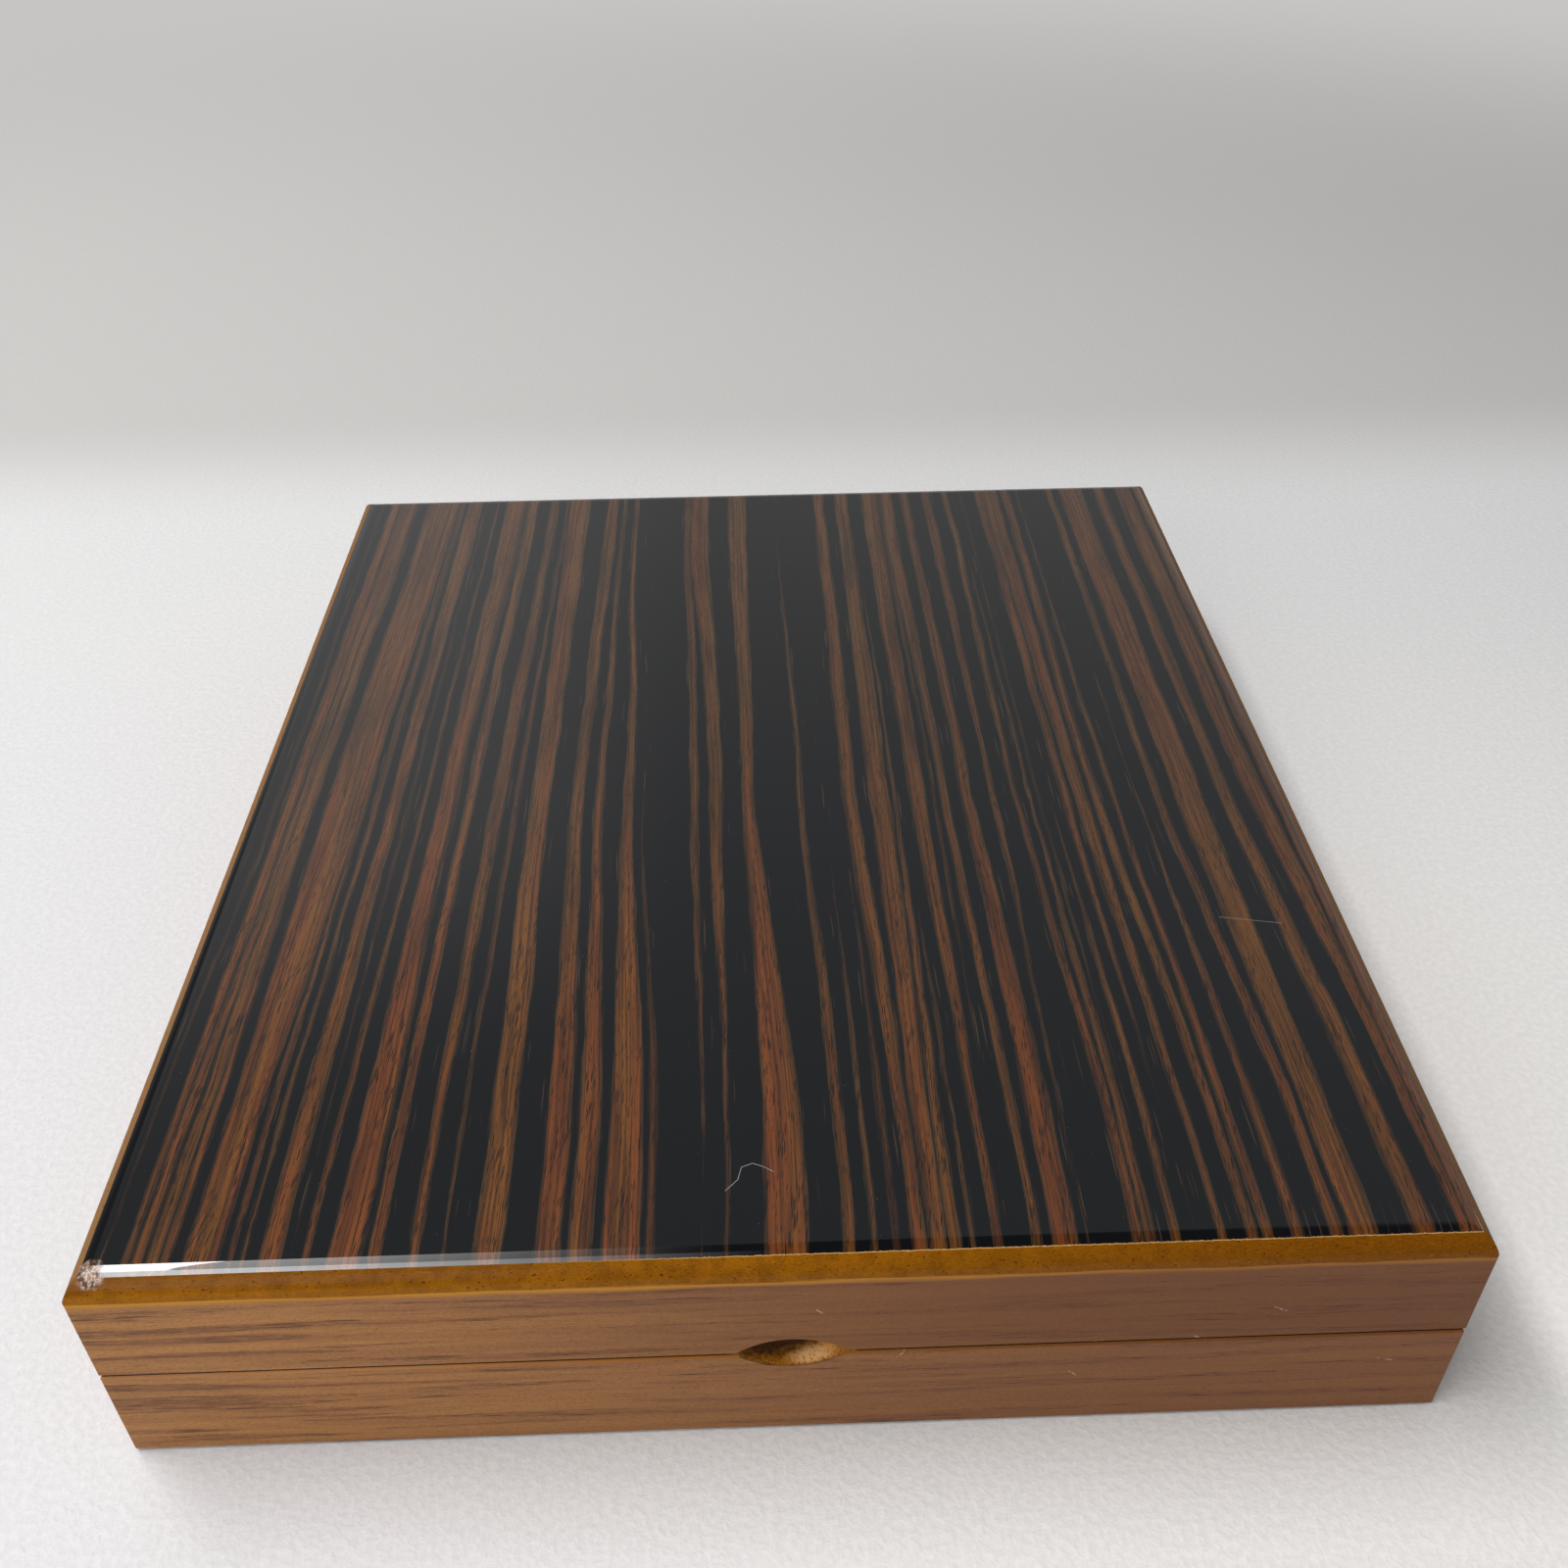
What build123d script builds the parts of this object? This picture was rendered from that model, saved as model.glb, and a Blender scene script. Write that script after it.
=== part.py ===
from build123d import *
import os

# Desktop cigar humidor: a flat veneered box with a cedar lining and a lid hinged at the back.
# Millimetres, +X to the right, +Y to the back, +Z up.
# The origin lies on the table, under the middle of the wooden box.

# Outside of the box
case_width = 254.0
case_depth = 293.0
base_height = 25.0
lid_height = 26.7
seam_gap = 0.3
corner_radius = 0.5
lid_edge_radius = 5.0
lid_foot_chamfer = 0.3
rim_chamfer = 0.9

# Boards, veneers and felt
side_veneer = 0.4
core_thickness = 8.6
bottom_panel_thickness = 4.0
bottom_rebate = 4.0
top_panel_thickness = 6.0
top_veneer = 0.5
felt_thickness = 0.8
felt_inset = 2.0
felt_corner_radius = 3.0

# Cedar lining and its sealing lip
liner_thickness = 4.5
floor_liner_thickness = 3.0
ceiling_liner_thickness = 3.0
lip_height = 5.0
lip_clearance = 0.45
lip_bevel = 1.2
lid_liner_clearance = 0.5

# Thumb notch across the seam of the front
notch_width = 21.6
notch_depth = 4.5
notch_offset = 0.7

# Butt hinges with their leaves let into the edges of the two back walls
hinge_end_inset = 28.0
hinge_length = 38.0
leaf_reach = 8.0
leaf_thickness = 1.2
barrel_radius = 2.2
barrel_clearance = 0.3
knuckle_count = 5
knuckle_gap = 0.25
pin_radius = 0.9
pin_dome = 0.35
running_fit = 0.05

# Countersunk hinge screws
screw_count = 3
screw_spacing = 13.0
screw_length = 8.0
screw_shank_radius = 0.8
screw_head_radius = 1.6
screw_head_height = 0.9
screw_tip_length = 1.6
screw_point_radius = 0.24
screw_cross_length = 1.9
screw_cross_width = 0.35
screw_cross_depth = 0.4
screw_fit = 0.05

# Loose cedar divider
divider_thickness = 4.0
divider_height = 19.0
left_bay_width = 66.5
divider_end_gap = 0.3
divider_floor_gap = 0.2
divider_scallop_width = 34.0
divider_scallop_depth = 7.0

# Humidifier that hangs on magnets from the ceiling of the lid
humidifier_width = 100.0
humidifier_depth = 52.0
humidifier_height = 11.5
humidifier_side_gap = 11.5
humidifier_corner = 4.0
humidifier_wall = 1.8
humidifier_back = 2.0
humidifier_hang_gap = 0.25
cover_thickness = 1.6
cover_ledge = 0.8
cover_fit = 0.1
vent_columns = 12
vent_rows = 2
vent_width = 2.4
vent_length = 18.0
vent_pitch = 7.4
vent_row_pitch = 22.0
foam_fit = 0.3
magnet_spacing = 60.0
magnet_radius = 5.0
magnet_thickness = 1.2
magnet_fit = 0.1
keeper_radius = 8.0
keeper_thickness = 0.6

# Dial hygrometer let into the ceiling of the lid
hygrometer_side_gap = 31.5
hygrometer_radius = 19.0
hygrometer_height = 9.0
hygrometer_let_in = 5.5
hygrometer_fit = 0.15
case_wall = 0.8
case_back = 1.2
bezel_radius = 22.0
bezel_lip = 1.0
bezel_lip_width = 2.2
bezel_round = 0.8
lens_thickness = 1.2
glazing_fit = 0.2
dial_depth = 4.5
dial_thickness = 0.5
dial_hole_radius = 1.0
ledge_width = 1.0
ledge_thickness = 0.6
arbor_radius = 0.5
arbor_length = 6.4
arbor_fit = 0.06
arbor_seat = 0.6
needle_depth = 6.0
needle_thickness = 0.35
needle_length = 14.0
needle_tail = 5.0
needle_hub_radius = 1.5
needle_root_width = 1.3
needle_tip_width = 0.35
needle_reading = 70.0
scale_sweep = 270.0
coil_depth = 1.8
coil_height = 1.4
coil_thickness = 0.3
coil_inner_radius = 1.0
coil_pitch = 1.2
coil_half_turns = 13
coil_post_radius = 0.7
coil_post_gap = 0.1

# Heights
base_bottom = felt_thickness
base_top = base_bottom + base_height
lid_bottom = base_top + seam_gap
lid_top = lid_bottom + lid_height
seam_middle = (base_top + lid_bottom) / 2
bottom_panel_top = base_bottom + bottom_panel_thickness
floor_top = bottom_panel_top + floor_liner_thickness
lip_top = base_top + lip_height
top_panel_top = lid_top - top_veneer
top_panel_bottom = top_panel_top - top_panel_thickness
ceiling = top_panel_bottom - ceiling_liner_thickness
lid_liner_bottom = lip_top + lid_liner_clearance

# Widths and depths, from the outside in
core_width = case_width - 2 * side_veneer
core_depth = case_depth - 2 * side_veneer
room_width = core_width - 2 * core_thickness
room_depth = core_depth - 2 * core_thickness
chamber_width = room_width - 2 * liner_thickness
chamber_depth = room_depth - 2 * liner_thickness
back_face = case_depth / 2

# Places of the fittings, each measured from the wall that it stands nearest to
hinge_x = case_width / 2 - hinge_end_inset - hinge_length / 2
divider_x = (divider_thickness - chamber_width) / 2 + left_bay_width
humidifier_x = (chamber_width - humidifier_width) / 2 - humidifier_side_gap
hygrometer_x = hygrometer_side_gap + bezel_radius - chamber_width / 2
hinge_axis_y = back_face + barrel_clearance + barrel_radius
knuckle_length = (hinge_length - (knuckle_count - 1) * knuckle_gap) / knuckle_count
knuckle_pitch = knuckle_length + knuckle_gap
humidifier_top = ceiling - keeper_thickness - humidifier_hang_gap
humidifier_bottom = humidifier_top - humidifier_height
hygrometer_top = ceiling + hygrometer_let_in
glazing_radius = hygrometer_radius - case_wall - glazing_fit
needle_angle = (needle_reading / 100 - 0.5) * scale_sweep - 90

sides = ("front", "back", "left", "right")
hinge_places = {"left": -hinge_x, "right": hinge_x}


def slab(width, depth, bottom, top, x=0.0, y=0.0):
    """A plain box between two heights, centred on (x, y)."""
    block = Box(width, depth, top - bottom, align=(Align.CENTER, Align.CENTER, Align.MIN))
    return Pos(x, y, bottom) * block


def disc(radius, bottom, top, x=0.0, y=0.0):
    """An upright cylinder between two heights, centred on (x, y)."""
    cylinder = Cylinder(radius, top - bottom, align=(Align.CENTER, Align.CENTER, Align.MIN))
    return Pos(x, y, bottom) * cylinder


def rounded_slab(width, depth, corner, bottom, top, x=0.0, y=0.0):
    """A box between two heights with rounded upright corners."""
    return Pos(x, y, bottom) * extrude(RectangleRounded(width, depth, corner), top - bottom)


def mitred_board(side, width, depth, thickness, bottom, top):
    """One side of a rectangular frame, cut at 45 degrees at both ends."""
    outer_x = width / 2
    outer_y = depth / 2
    inner_x = outer_x - thickness
    inner_y = outer_y - thickness
    outlines = {
        "front": [(-outer_x, -outer_y), (outer_x, -outer_y), (inner_x, -inner_y), (-inner_x, -inner_y)],
        "back": [(outer_x, outer_y), (-outer_x, outer_y), (-inner_x, inner_y), (inner_x, inner_y)],
        "left": [(-outer_x, outer_y), (-outer_x, -outer_y), (-inner_x, -inner_y), (-inner_x, inner_y)],
        "right": [(outer_x, -outer_y), (outer_x, outer_y), (inner_x, inner_y), (inner_x, -inner_y)],
    }
    outline = make_face(Polyline(*outlines[side], close=True))
    return Pos(0, 0, bottom) * extrude(outline, top - bottom)


def edge_profile(width, height, top_radius, top_chamfer, foot_chamfer):
    """Upright section of a box, standing on its own X axis, with worked edges."""
    profile = Pos(0, height / 2) * Rectangle(width, height)
    upper = profile.vertices().sort_by(Axis.Y)[-2:]
    if top_radius > 0:
        profile = fillet(upper, top_radius)
    elif top_chamfer > 0:
        profile = chamfer(upper, top_chamfer)
    if foot_chamfer > 0:
        profile = chamfer(profile.vertices().sort_by(Axis.Y)[:2], foot_chamfer)
    return profile


def worked_block(width, depth, bottom, top, corner, top_radius=0.0, top_chamfer=0.0, foot_chamfer=0.0):
    """A solid box whose edges are worked alike on all four sides and meet in mitres."""
    height = top - bottom
    across = edge_profile(width, height, top_radius, top_chamfer, foot_chamfer)
    along = edge_profile(depth, height, top_radius, top_chamfer, foot_chamfer)
    plan = rounded_slab(width, depth, corner, bottom, top)
    front_section = Pos(0, 0, bottom) * extrude(Plane.XZ * across, depth, both=True)
    side_section = Pos(0, 0, bottom) * extrude(Plane.YZ * along, width, both=True)
    return plan & front_section & side_section


def thumb_notch():
    """The spindle-shaped scoop that is cut across the seam in the middle of the front."""
    half_width = notch_width / 2
    arc = ThreePointArc((-half_width, 0), (0, notch_depth), (half_width, 0))
    chord = Line((half_width, 0), (-half_width, 0))
    spindle = revolve(make_face([arc, chord]), Axis.X)
    return Pos(notch_offset, -case_depth / 2, seam_middle) * spindle


def screw_shape(growth=0.0):
    """A countersunk screw that points down, its head flush with height 0."""
    shank_bottom = screw_tip_length - screw_length
    shank_radius = screw_shank_radius + growth
    head = Cone(shank_radius, screw_head_radius + growth, screw_head_height,
                align=(Align.CENTER, Align.CENTER, Align.MAX))
    shank = disc(shank_radius, shank_bottom, -screw_head_height)
    tip = Cone(screw_point_radius + growth, shank_radius, screw_tip_length,
               align=(Align.CENTER, Align.CENTER, Align.MAX))
    return head + shank + Pos(0, 0, shank_bottom) * tip


def screw():
    """A hinge screw with its cross recess."""
    arm = slab(screw_cross_length, screw_cross_width, -screw_cross_depth, 0)
    return screw_shape() - arm - Rot(0, 0, 90) * arm


def screw_places(middle_x, half):
    """Where the screws of one hinge leaf go: down into the base, or up into the lid."""
    height = base_top if half == "base" else lid_bottom
    turn = Rot(0, 0, 0) if half == "base" else Rot(180, 0, 0)
    places = []
    for index in range(screw_count):
        x = middle_x + (index - (screw_count - 1) / 2) * screw_spacing
        places.append(Pos(x, back_face - leaf_reach / 2, height) * turn)
    return places


def leaf_heights(half):
    """Lower and upper face of a hinge leaf that lies flush with its edge of the seam."""
    if half == "base":
        return base_top - leaf_thickness, base_top
    return lid_bottom, lid_bottom + leaf_thickness


def hinge_mortise(middle_x, half):
    """The shallow pocket for one hinge leaf, open at the back."""
    bottom, top = leaf_heights(half)
    reach = leaf_reach + side_veneer
    return slab(hinge_length, reach, bottom, top, middle_x, back_face + side_veneer - reach / 2)


def hinge_leaf(middle_x, half):
    """A flat brass leaf with its share of the knuckles: the base has the first and the last."""
    bottom, top = leaf_heights(half)
    leaf = slab(hinge_length, leaf_reach, bottom, top, middle_x, back_face - leaf_reach / 2)
    web_depth = hinge_axis_y - back_face
    first = 0 if half == "base" else 1
    for index in range(first, knuckle_count, 2):
        x = middle_x + (index - (knuckle_count - 1) / 2) * knuckle_pitch
        web = slab(knuckle_length, web_depth, bottom, top, x, back_face + web_depth / 2)
        knuckle = Pos(x, hinge_axis_y, seam_middle) * Rot(0, 90, 0) * Cylinder(barrel_radius, knuckle_length)
        leaf = leaf + web + knuckle
    bore = Rot(0, 90, 0) * Cylinder(pin_radius + running_fit, 2 * hinge_length)
    leaf = leaf - Pos(middle_x, hinge_axis_y, seam_middle) * bore
    for place in screw_places(middle_x, half):
        leaf = leaf - place * screw_shape(screw_fit)
    return leaf


def hinge_pin(middle_x):
    """The hinge pin, with its ends rounded over just outside the knuckles."""
    pin = Cylinder(pin_radius, hinge_length + 2 * pin_dome)
    pin = fillet(pin.edges().filter_by(GeomType.CIRCLE), pin_dome)
    return Pos(middle_x, hinge_axis_y, seam_middle) * Rot(0, 90, 0) * pin


def cut_for_hinges(board, half):
    """Takes the mortises and screw holes of both hinges out of a back wall or its veneer."""
    for middle_x in hinge_places.values():
        board = board - hinge_mortise(middle_x, half)
        for place in screw_places(middle_x, half):
            board = board - place * screw_shape(screw_fit)
    return board


def base_wall(side, envelope):
    """A mitred fibreboard wall of the base, rebated for the bottom panel."""
    wall = mitred_board(side, core_width, core_depth, core_thickness, base_bottom, base_top) & envelope
    wall = wall - bottom_panel()
    if side == "front":
        wall = wall - thumb_notch()
    if side == "back":
        wall = cut_for_hinges(wall, "base")
    return wall


def base_skin(side, envelope):
    """The side veneer of the base."""
    skin = mitred_board(side, case_width, case_depth, side_veneer, base_bottom, base_top) & envelope
    if side == "front":
        skin = skin - thumb_notch()
    if side == "back":
        skin = cut_for_hinges(skin, "base")
    return skin


def bottom_panel():
    """The board that closes the base from below, set into the rebates of the walls."""
    return slab(room_width + 2 * bottom_rebate, room_depth + 2 * bottom_rebate, base_bottom, bottom_panel_top)


def base_felt():
    """The felt under the base."""
    width = case_width - 2 * felt_inset
    depth = case_depth - 2 * felt_inset
    return rounded_slab(width, depth, felt_corner_radius, 0, felt_thickness)


def base_liner(side):
    """A cedar wall lining that stands proud of the rim as a bevelled sealing lip."""
    lip_width = room_width - 2 * lip_clearance
    lip_depth = room_depth - 2 * lip_clearance
    lip_thickness = liner_thickness - lip_clearance
    lower = mitred_board(side, room_width, room_depth, liner_thickness, floor_top, base_top)
    upper = mitred_board(side, lip_width, lip_depth, lip_thickness, base_top, lip_top)
    bevel = worked_block(lip_width, lip_depth, base_top, lip_top, corner_radius, top_chamfer=lip_bevel)
    return lower + (upper & bevel)


def lid_wall(side, envelope):
    """A mitred fibreboard wall of the lid."""
    wall = mitred_board(side, core_width, core_depth, core_thickness, lid_bottom, top_panel_bottom) & envelope
    if side == "front":
        wall = wall - thumb_notch()
    if side == "back":
        wall = cut_for_hinges(wall, "lid")
    return wall


def lid_skin(side, envelope):
    """The side veneer of the lid, feathered out where the edge is rounded over."""
    skin = mitred_board(side, case_width, case_depth, side_veneer, lid_bottom, top_panel_top) & envelope
    if side == "front":
        skin = skin - thumb_notch()
    if side == "back":
        skin = cut_for_hinges(skin, "lid")
    return skin


def hygrometer_recess():
    """The round hole for the hygrometer, through the ceiling lining and into the top panel."""
    return disc(hygrometer_radius + hygrometer_fit, ceiling, hygrometer_top, hygrometer_x)


def lid_top_panel(envelope):
    """The fibreboard top of the lid, laid over its walls."""
    panel = slab(core_width, core_depth, top_panel_bottom, top_panel_top) & envelope
    return panel - hygrometer_recess()


def lid_top_veneer(envelope):
    """The striped top veneer under its thick clear lacquer."""
    return slab(case_width, case_depth, top_panel_top, lid_top) & envelope


def lid_ceiling_liner():
    """The cedar lining under the top panel."""
    return slab(room_width, room_depth, ceiling, top_panel_bottom) - hygrometer_recess()


def lid_liner(side):
    """A cedar wall lining of the lid that stops above the sealing lip."""
    return mitred_board(side, room_width, room_depth, liner_thickness, lid_liner_bottom, ceiling)


def divider():
    """The loose cedar board that splits the tray, with a finger scallop in its top edge."""
    bottom = floor_top + divider_floor_gap
    top = bottom + divider_height
    board = slab(divider_thickness, chamber_depth - 2 * divider_end_gap, bottom, top, divider_x)
    half_width = divider_scallop_width / 2
    arc = ThreePointArc((-half_width, 0), (0, -divider_scallop_depth), (half_width, 0))
    chord = Line((half_width, 0), (-half_width, 0))
    scallop = extrude(Plane.YZ * make_face([arc, chord]), divider_thickness, both=True)
    return board - Pos(divider_x, 0, top) * scallop


def magnet_places():
    """The two magnets of the humidifier, and the steel discs that they hold on to."""
    return [humidifier_x - magnet_spacing / 2, humidifier_x + magnet_spacing / 2]


def humidifier_case():
    """The black tray of the humidifier, open below, with pockets for its magnets above."""
    inner_width = humidifier_width - 2 * humidifier_wall
    inner_depth = humidifier_depth - 2 * humidifier_wall
    shell = rounded_slab(humidifier_width, humidifier_depth, humidifier_corner,
                         humidifier_bottom, humidifier_top, humidifier_x)
    hollow = rounded_slab(inner_width, inner_depth, humidifier_corner - humidifier_wall,
                          humidifier_bottom, humidifier_top - humidifier_back, humidifier_x)
    seat = rounded_slab(inner_width + 2 * cover_ledge, inner_depth + 2 * cover_ledge,
                        humidifier_corner - humidifier_wall + cover_ledge,
                        humidifier_bottom, humidifier_bottom + cover_thickness, humidifier_x)
    shell = shell - hollow - seat
    for x in magnet_places():
        shell = shell - disc(magnet_radius + magnet_fit, humidifier_top - magnet_thickness, humidifier_top, x)
    return shell


def humidifier_cover():
    """The slotted cover that snaps into the mouth of the humidifier."""
    width = humidifier_width - 2 * (humidifier_wall - cover_ledge + cover_fit)
    depth = humidifier_depth - 2 * (humidifier_wall - cover_ledge + cover_fit)
    corner = humidifier_corner - humidifier_wall + cover_ledge - cover_fit
    top = humidifier_bottom + cover_thickness
    cover = rounded_slab(width, depth, corner, humidifier_bottom, top, humidifier_x)
    slot = extrude(SlotOverall(vent_length, vent_width, rotation=90), cover_thickness)
    vents = GridLocations(vent_pitch, vent_row_pitch, vent_columns, vent_rows)
    cutters = [Pos(humidifier_x, 0, humidifier_bottom) * place * slot for place in vents]
    return cover - cutters


def humidifier_foam():
    """The water-holding foam block inside the humidifier."""
    width = humidifier_width - 2 * (humidifier_wall + foam_fit)
    depth = humidifier_depth - 2 * (humidifier_wall + foam_fit)
    bottom = humidifier_bottom + cover_thickness + foam_fit
    top = humidifier_top - humidifier_back - foam_fit
    return rounded_slab(width, depth, humidifier_corner - humidifier_wall, bottom, top, humidifier_x)


def humidifier_magnets():
    """The disc magnets in the back of the humidifier."""
    bottom = humidifier_top - magnet_thickness
    return Compound([disc(magnet_radius, bottom, humidifier_top, x) for x in magnet_places()])


def keeper_discs():
    """The steel discs glued to the ceiling of the lid."""
    bottom = ceiling - keeper_thickness
    return Compound([disc(keeper_radius, bottom, ceiling, x) for x in magnet_places()])


def hygrometer_layer(radius, depth, thickness, bore=0.0):
    """A disc or washer of the hygrometer, at a depth below the top of its recess."""
    top = hygrometer_top - depth
    layer = disc(radius, top - thickness, top, hygrometer_x)
    if bore > 0:
        layer = layer - disc(bore, top - thickness, top, hygrometer_x)
    return layer


def coil_outer_radius():
    """Radius of the outermost half turn of the hygrometer's coil, at its middle line."""
    return coil_inner_radius + coil_thickness / 2 + (coil_half_turns - 1) * coil_pitch / 2


def hygrometer_case():
    """The cup of the hygrometer, with a ledge for the dial, a pivot seat and the coil's post."""
    inner_radius = hygrometer_radius - case_wall
    cup = hygrometer_layer(hygrometer_radius, 0, hygrometer_height)
    cup = cup - hygrometer_layer(inner_radius, case_back, hygrometer_height - case_back)
    ledge_top = dial_depth - ledge_thickness
    cup = cup + hygrometer_layer(inner_radius, ledge_top, ledge_thickness, inner_radius - ledge_width)
    cup = cup - hygrometer_layer(arbor_radius + arbor_fit, arbor_seat - arbor_fit, case_back)
    post_x = hygrometer_x + coil_outer_radius() + coil_thickness / 2 + coil_post_gap + coil_post_radius
    post = disc(coil_post_radius, hygrometer_top - coil_depth - coil_height, hygrometer_top - case_back, post_x)
    return cup + post


def hygrometer_coil():
    """The flat moisture-sensing coil, a spiral of half turns about two centres in turn."""
    bottom = hygrometer_top - coil_depth - coil_height
    spiral = []
    for index in range(coil_half_turns):
        radius = coil_inner_radius + coil_thickness / 2 + index * coil_pitch / 2
        upper = 1 if index % 2 == 0 else -1
        centre = 0.0 if index % 2 == 0 else coil_pitch / 2
        outer = radius + coil_thickness / 2
        band = Circle(outer) - Circle(radius - coil_thickness / 2)
        half = band & Pos(0, upper * outer) * Rectangle(4 * outer, 2 * outer)
        spiral.append(Pos(hygrometer_x - centre, 0, bottom) * extrude(half, coil_height))
    coil = spiral[0]
    for turn in spiral[1:]:
        coil = coil + turn
    return coil


def hygrometer_bezel():
    """The turned brass ring that covers the edge of the recess and holds the glass."""
    bezel_depth = hygrometer_height + bezel_lip - hygrometer_let_in
    ring = hygrometer_layer(bezel_radius, hygrometer_let_in, bezel_depth)
    outer_edge = ring.edges().filter_by(GeomType.CIRCLE).sort_by(Axis.Z)[0]
    ring = fillet(outer_edge, bezel_round)
    bore = hygrometer_layer(hygrometer_radius + hygrometer_fit, hygrometer_let_in,
                            hygrometer_height - hygrometer_let_in)
    window_radius = hygrometer_radius - bezel_lip_width
    return ring - bore - hygrometer_layer(window_radius, hygrometer_let_in, bezel_depth)


def hygrometer_lens():
    """The glass, held behind the lip of the bezel."""
    return hygrometer_layer(glazing_radius, hygrometer_height - lens_thickness, lens_thickness)


def hygrometer_dial():
    """The dial plate on its ledge, with a hole for the arbor."""
    return hygrometer_layer(glazing_radius, dial_depth, dial_thickness, dial_hole_radius)


def hygrometer_arbor():
    """The thin shaft that the coil turns, from its seat in the case to the needle."""
    return hygrometer_layer(arbor_radius, arbor_seat, arbor_length)


def hygrometer_needle():
    """The tapered pointer on its hub, set to its reading on the dial."""
    half_root = needle_root_width / 2
    half_tip = needle_tip_width / 2
    blade = make_face(Polyline((-needle_tail, -half_root), (needle_length, -half_tip),
                               (needle_length, half_tip), (-needle_tail, half_root), close=True))
    outline = blade + Circle(needle_hub_radius) + Pos(-needle_tail, 0) * Circle(needle_root_width)
    outline = outline - Circle(arbor_radius)
    bottom = hygrometer_top - needle_depth - needle_thickness
    return Pos(hygrometer_x, 0, bottom) * Rot(0, 0, needle_angle) * extrude(outline, needle_thickness)


def base_parts():
    """Every fixed piece of the lower half."""
    envelope = worked_block(case_width, case_depth, base_bottom, base_top, corner_radius, top_chamfer=rim_chamfer)
    parts = {
        "base_bottom_panel": bottom_panel(),
        "base_felt": base_felt(),
        "base_floor_liner": slab(room_width, room_depth, bottom_panel_top, floor_top),
    }
    for side in sides:
        parts[f"base_{side}_wall"] = base_wall(side, envelope)
        parts[f"base_{side}_veneer"] = base_skin(side, envelope)
        parts[f"base_{side}_liner"] = base_liner(side)
    return parts


def lid_parts():
    """Every fixed piece of the wooden lid."""
    envelope = worked_block(case_width, case_depth, lid_bottom, lid_top, corner_radius,
                            top_radius=lid_edge_radius, foot_chamfer=lid_foot_chamfer)
    parts = {
        "lid_top_panel": lid_top_panel(envelope),
        "lid_top_veneer": lid_top_veneer(envelope),
        "lid_ceiling_liner": lid_ceiling_liner(),
    }
    for side in sides:
        parts[f"lid_{side}_wall"] = lid_wall(side, envelope)
        parts[f"lid_{side}_veneer"] = lid_skin(side, envelope)
        parts[f"lid_{side}_liner"] = lid_liner(side)
    return parts


def hinge_parts():
    """Both hinges with their pins and screws."""
    parts = {}
    for hand, middle_x in hinge_places.items():
        parts[f"{hand}_hinge_pin"] = hinge_pin(middle_x)
        for half in ("base", "lid"):
            parts[f"{hand}_hinge_{half}_leaf"] = hinge_leaf(middle_x, half)
            screws = [place * screw() for place in screw_places(middle_x, half)]
            parts[f"{hand}_hinge_{half}_screws"] = Compound(screws)
    return parts


def fitting_parts():
    """The divider, the humidifier and the hygrometer."""
    return {
        "divider": divider(),
        "humidifier_case": humidifier_case(),
        "humidifier_cover": humidifier_cover(),
        "humidifier_foam": humidifier_foam(),
        "humidifier_magnets": humidifier_magnets(),
        "keeper_discs": keeper_discs(),
        "hygrometer_case": hygrometer_case(),
        "hygrometer_coil": hygrometer_coil(),
        "hygrometer_bezel": hygrometer_bezel(),
        "hygrometer_lens": hygrometer_lens(),
        "hygrometer_dial": hygrometer_dial(),
        "hygrometer_arbor": hygrometer_arbor(),
        "hygrometer_needle": hygrometer_needle(),
    }


os.makedirs("parts", exist_ok=True)
all_parts = {**base_parts(), **lid_parts(), **hinge_parts(), **fitting_parts()}
for name, shape in all_parts.items():
    export_step(shape, f"parts/{name}.step")
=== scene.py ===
import math

import bmesh
import bpy
import numpy as np
from mathutils import Euler, Matrix, Vector


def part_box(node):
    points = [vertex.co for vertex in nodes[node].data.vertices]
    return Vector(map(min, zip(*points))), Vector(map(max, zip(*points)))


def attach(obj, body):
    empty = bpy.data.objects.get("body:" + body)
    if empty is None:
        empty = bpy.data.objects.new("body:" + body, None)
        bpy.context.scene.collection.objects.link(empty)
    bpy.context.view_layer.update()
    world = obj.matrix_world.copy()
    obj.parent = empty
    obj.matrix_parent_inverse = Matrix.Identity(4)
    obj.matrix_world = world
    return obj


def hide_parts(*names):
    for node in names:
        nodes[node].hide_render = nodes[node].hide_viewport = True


# Cigar humidor: the finishes, the felt, the foam, the dial's print and the wear.
# Blender works in metres. Patterns and new pieces are written in millimetres and scaled by MM.

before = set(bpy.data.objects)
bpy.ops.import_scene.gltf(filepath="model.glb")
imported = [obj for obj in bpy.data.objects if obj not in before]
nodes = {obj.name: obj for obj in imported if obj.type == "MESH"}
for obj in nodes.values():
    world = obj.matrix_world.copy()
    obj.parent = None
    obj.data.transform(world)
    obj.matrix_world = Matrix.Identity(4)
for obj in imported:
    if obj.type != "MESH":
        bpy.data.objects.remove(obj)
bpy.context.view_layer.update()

MM = 0.001

# Half of the box's width and depth, without its hinges
HALF_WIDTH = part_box("base_right_veneer")[1].x / MM
HALF_DEPTH = -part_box("base_front_veneer")[0].y / MM

# Heights where the rounded edge of the lid changes from one layer to the next
VENEER_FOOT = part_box("lid_top_veneer")[0].z / MM
OCHRE_FOOT = 48.2
FEATHER_FOOT = 46.9

# Heights of the ochre edge between which its colour goes from paler to deeper, on the left
OCHRE_TONE_LOW = 49.6
OCHRE_TONE_HIGH = 51.6

# Heights of the bevel on the base's rim: its foot, where its veneer ends, and its top
BEVEL_FOOT = 24.9
BEVEL_VENEER = 25.3
RIM_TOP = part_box("base_front_wall")[1].z / MM

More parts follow.
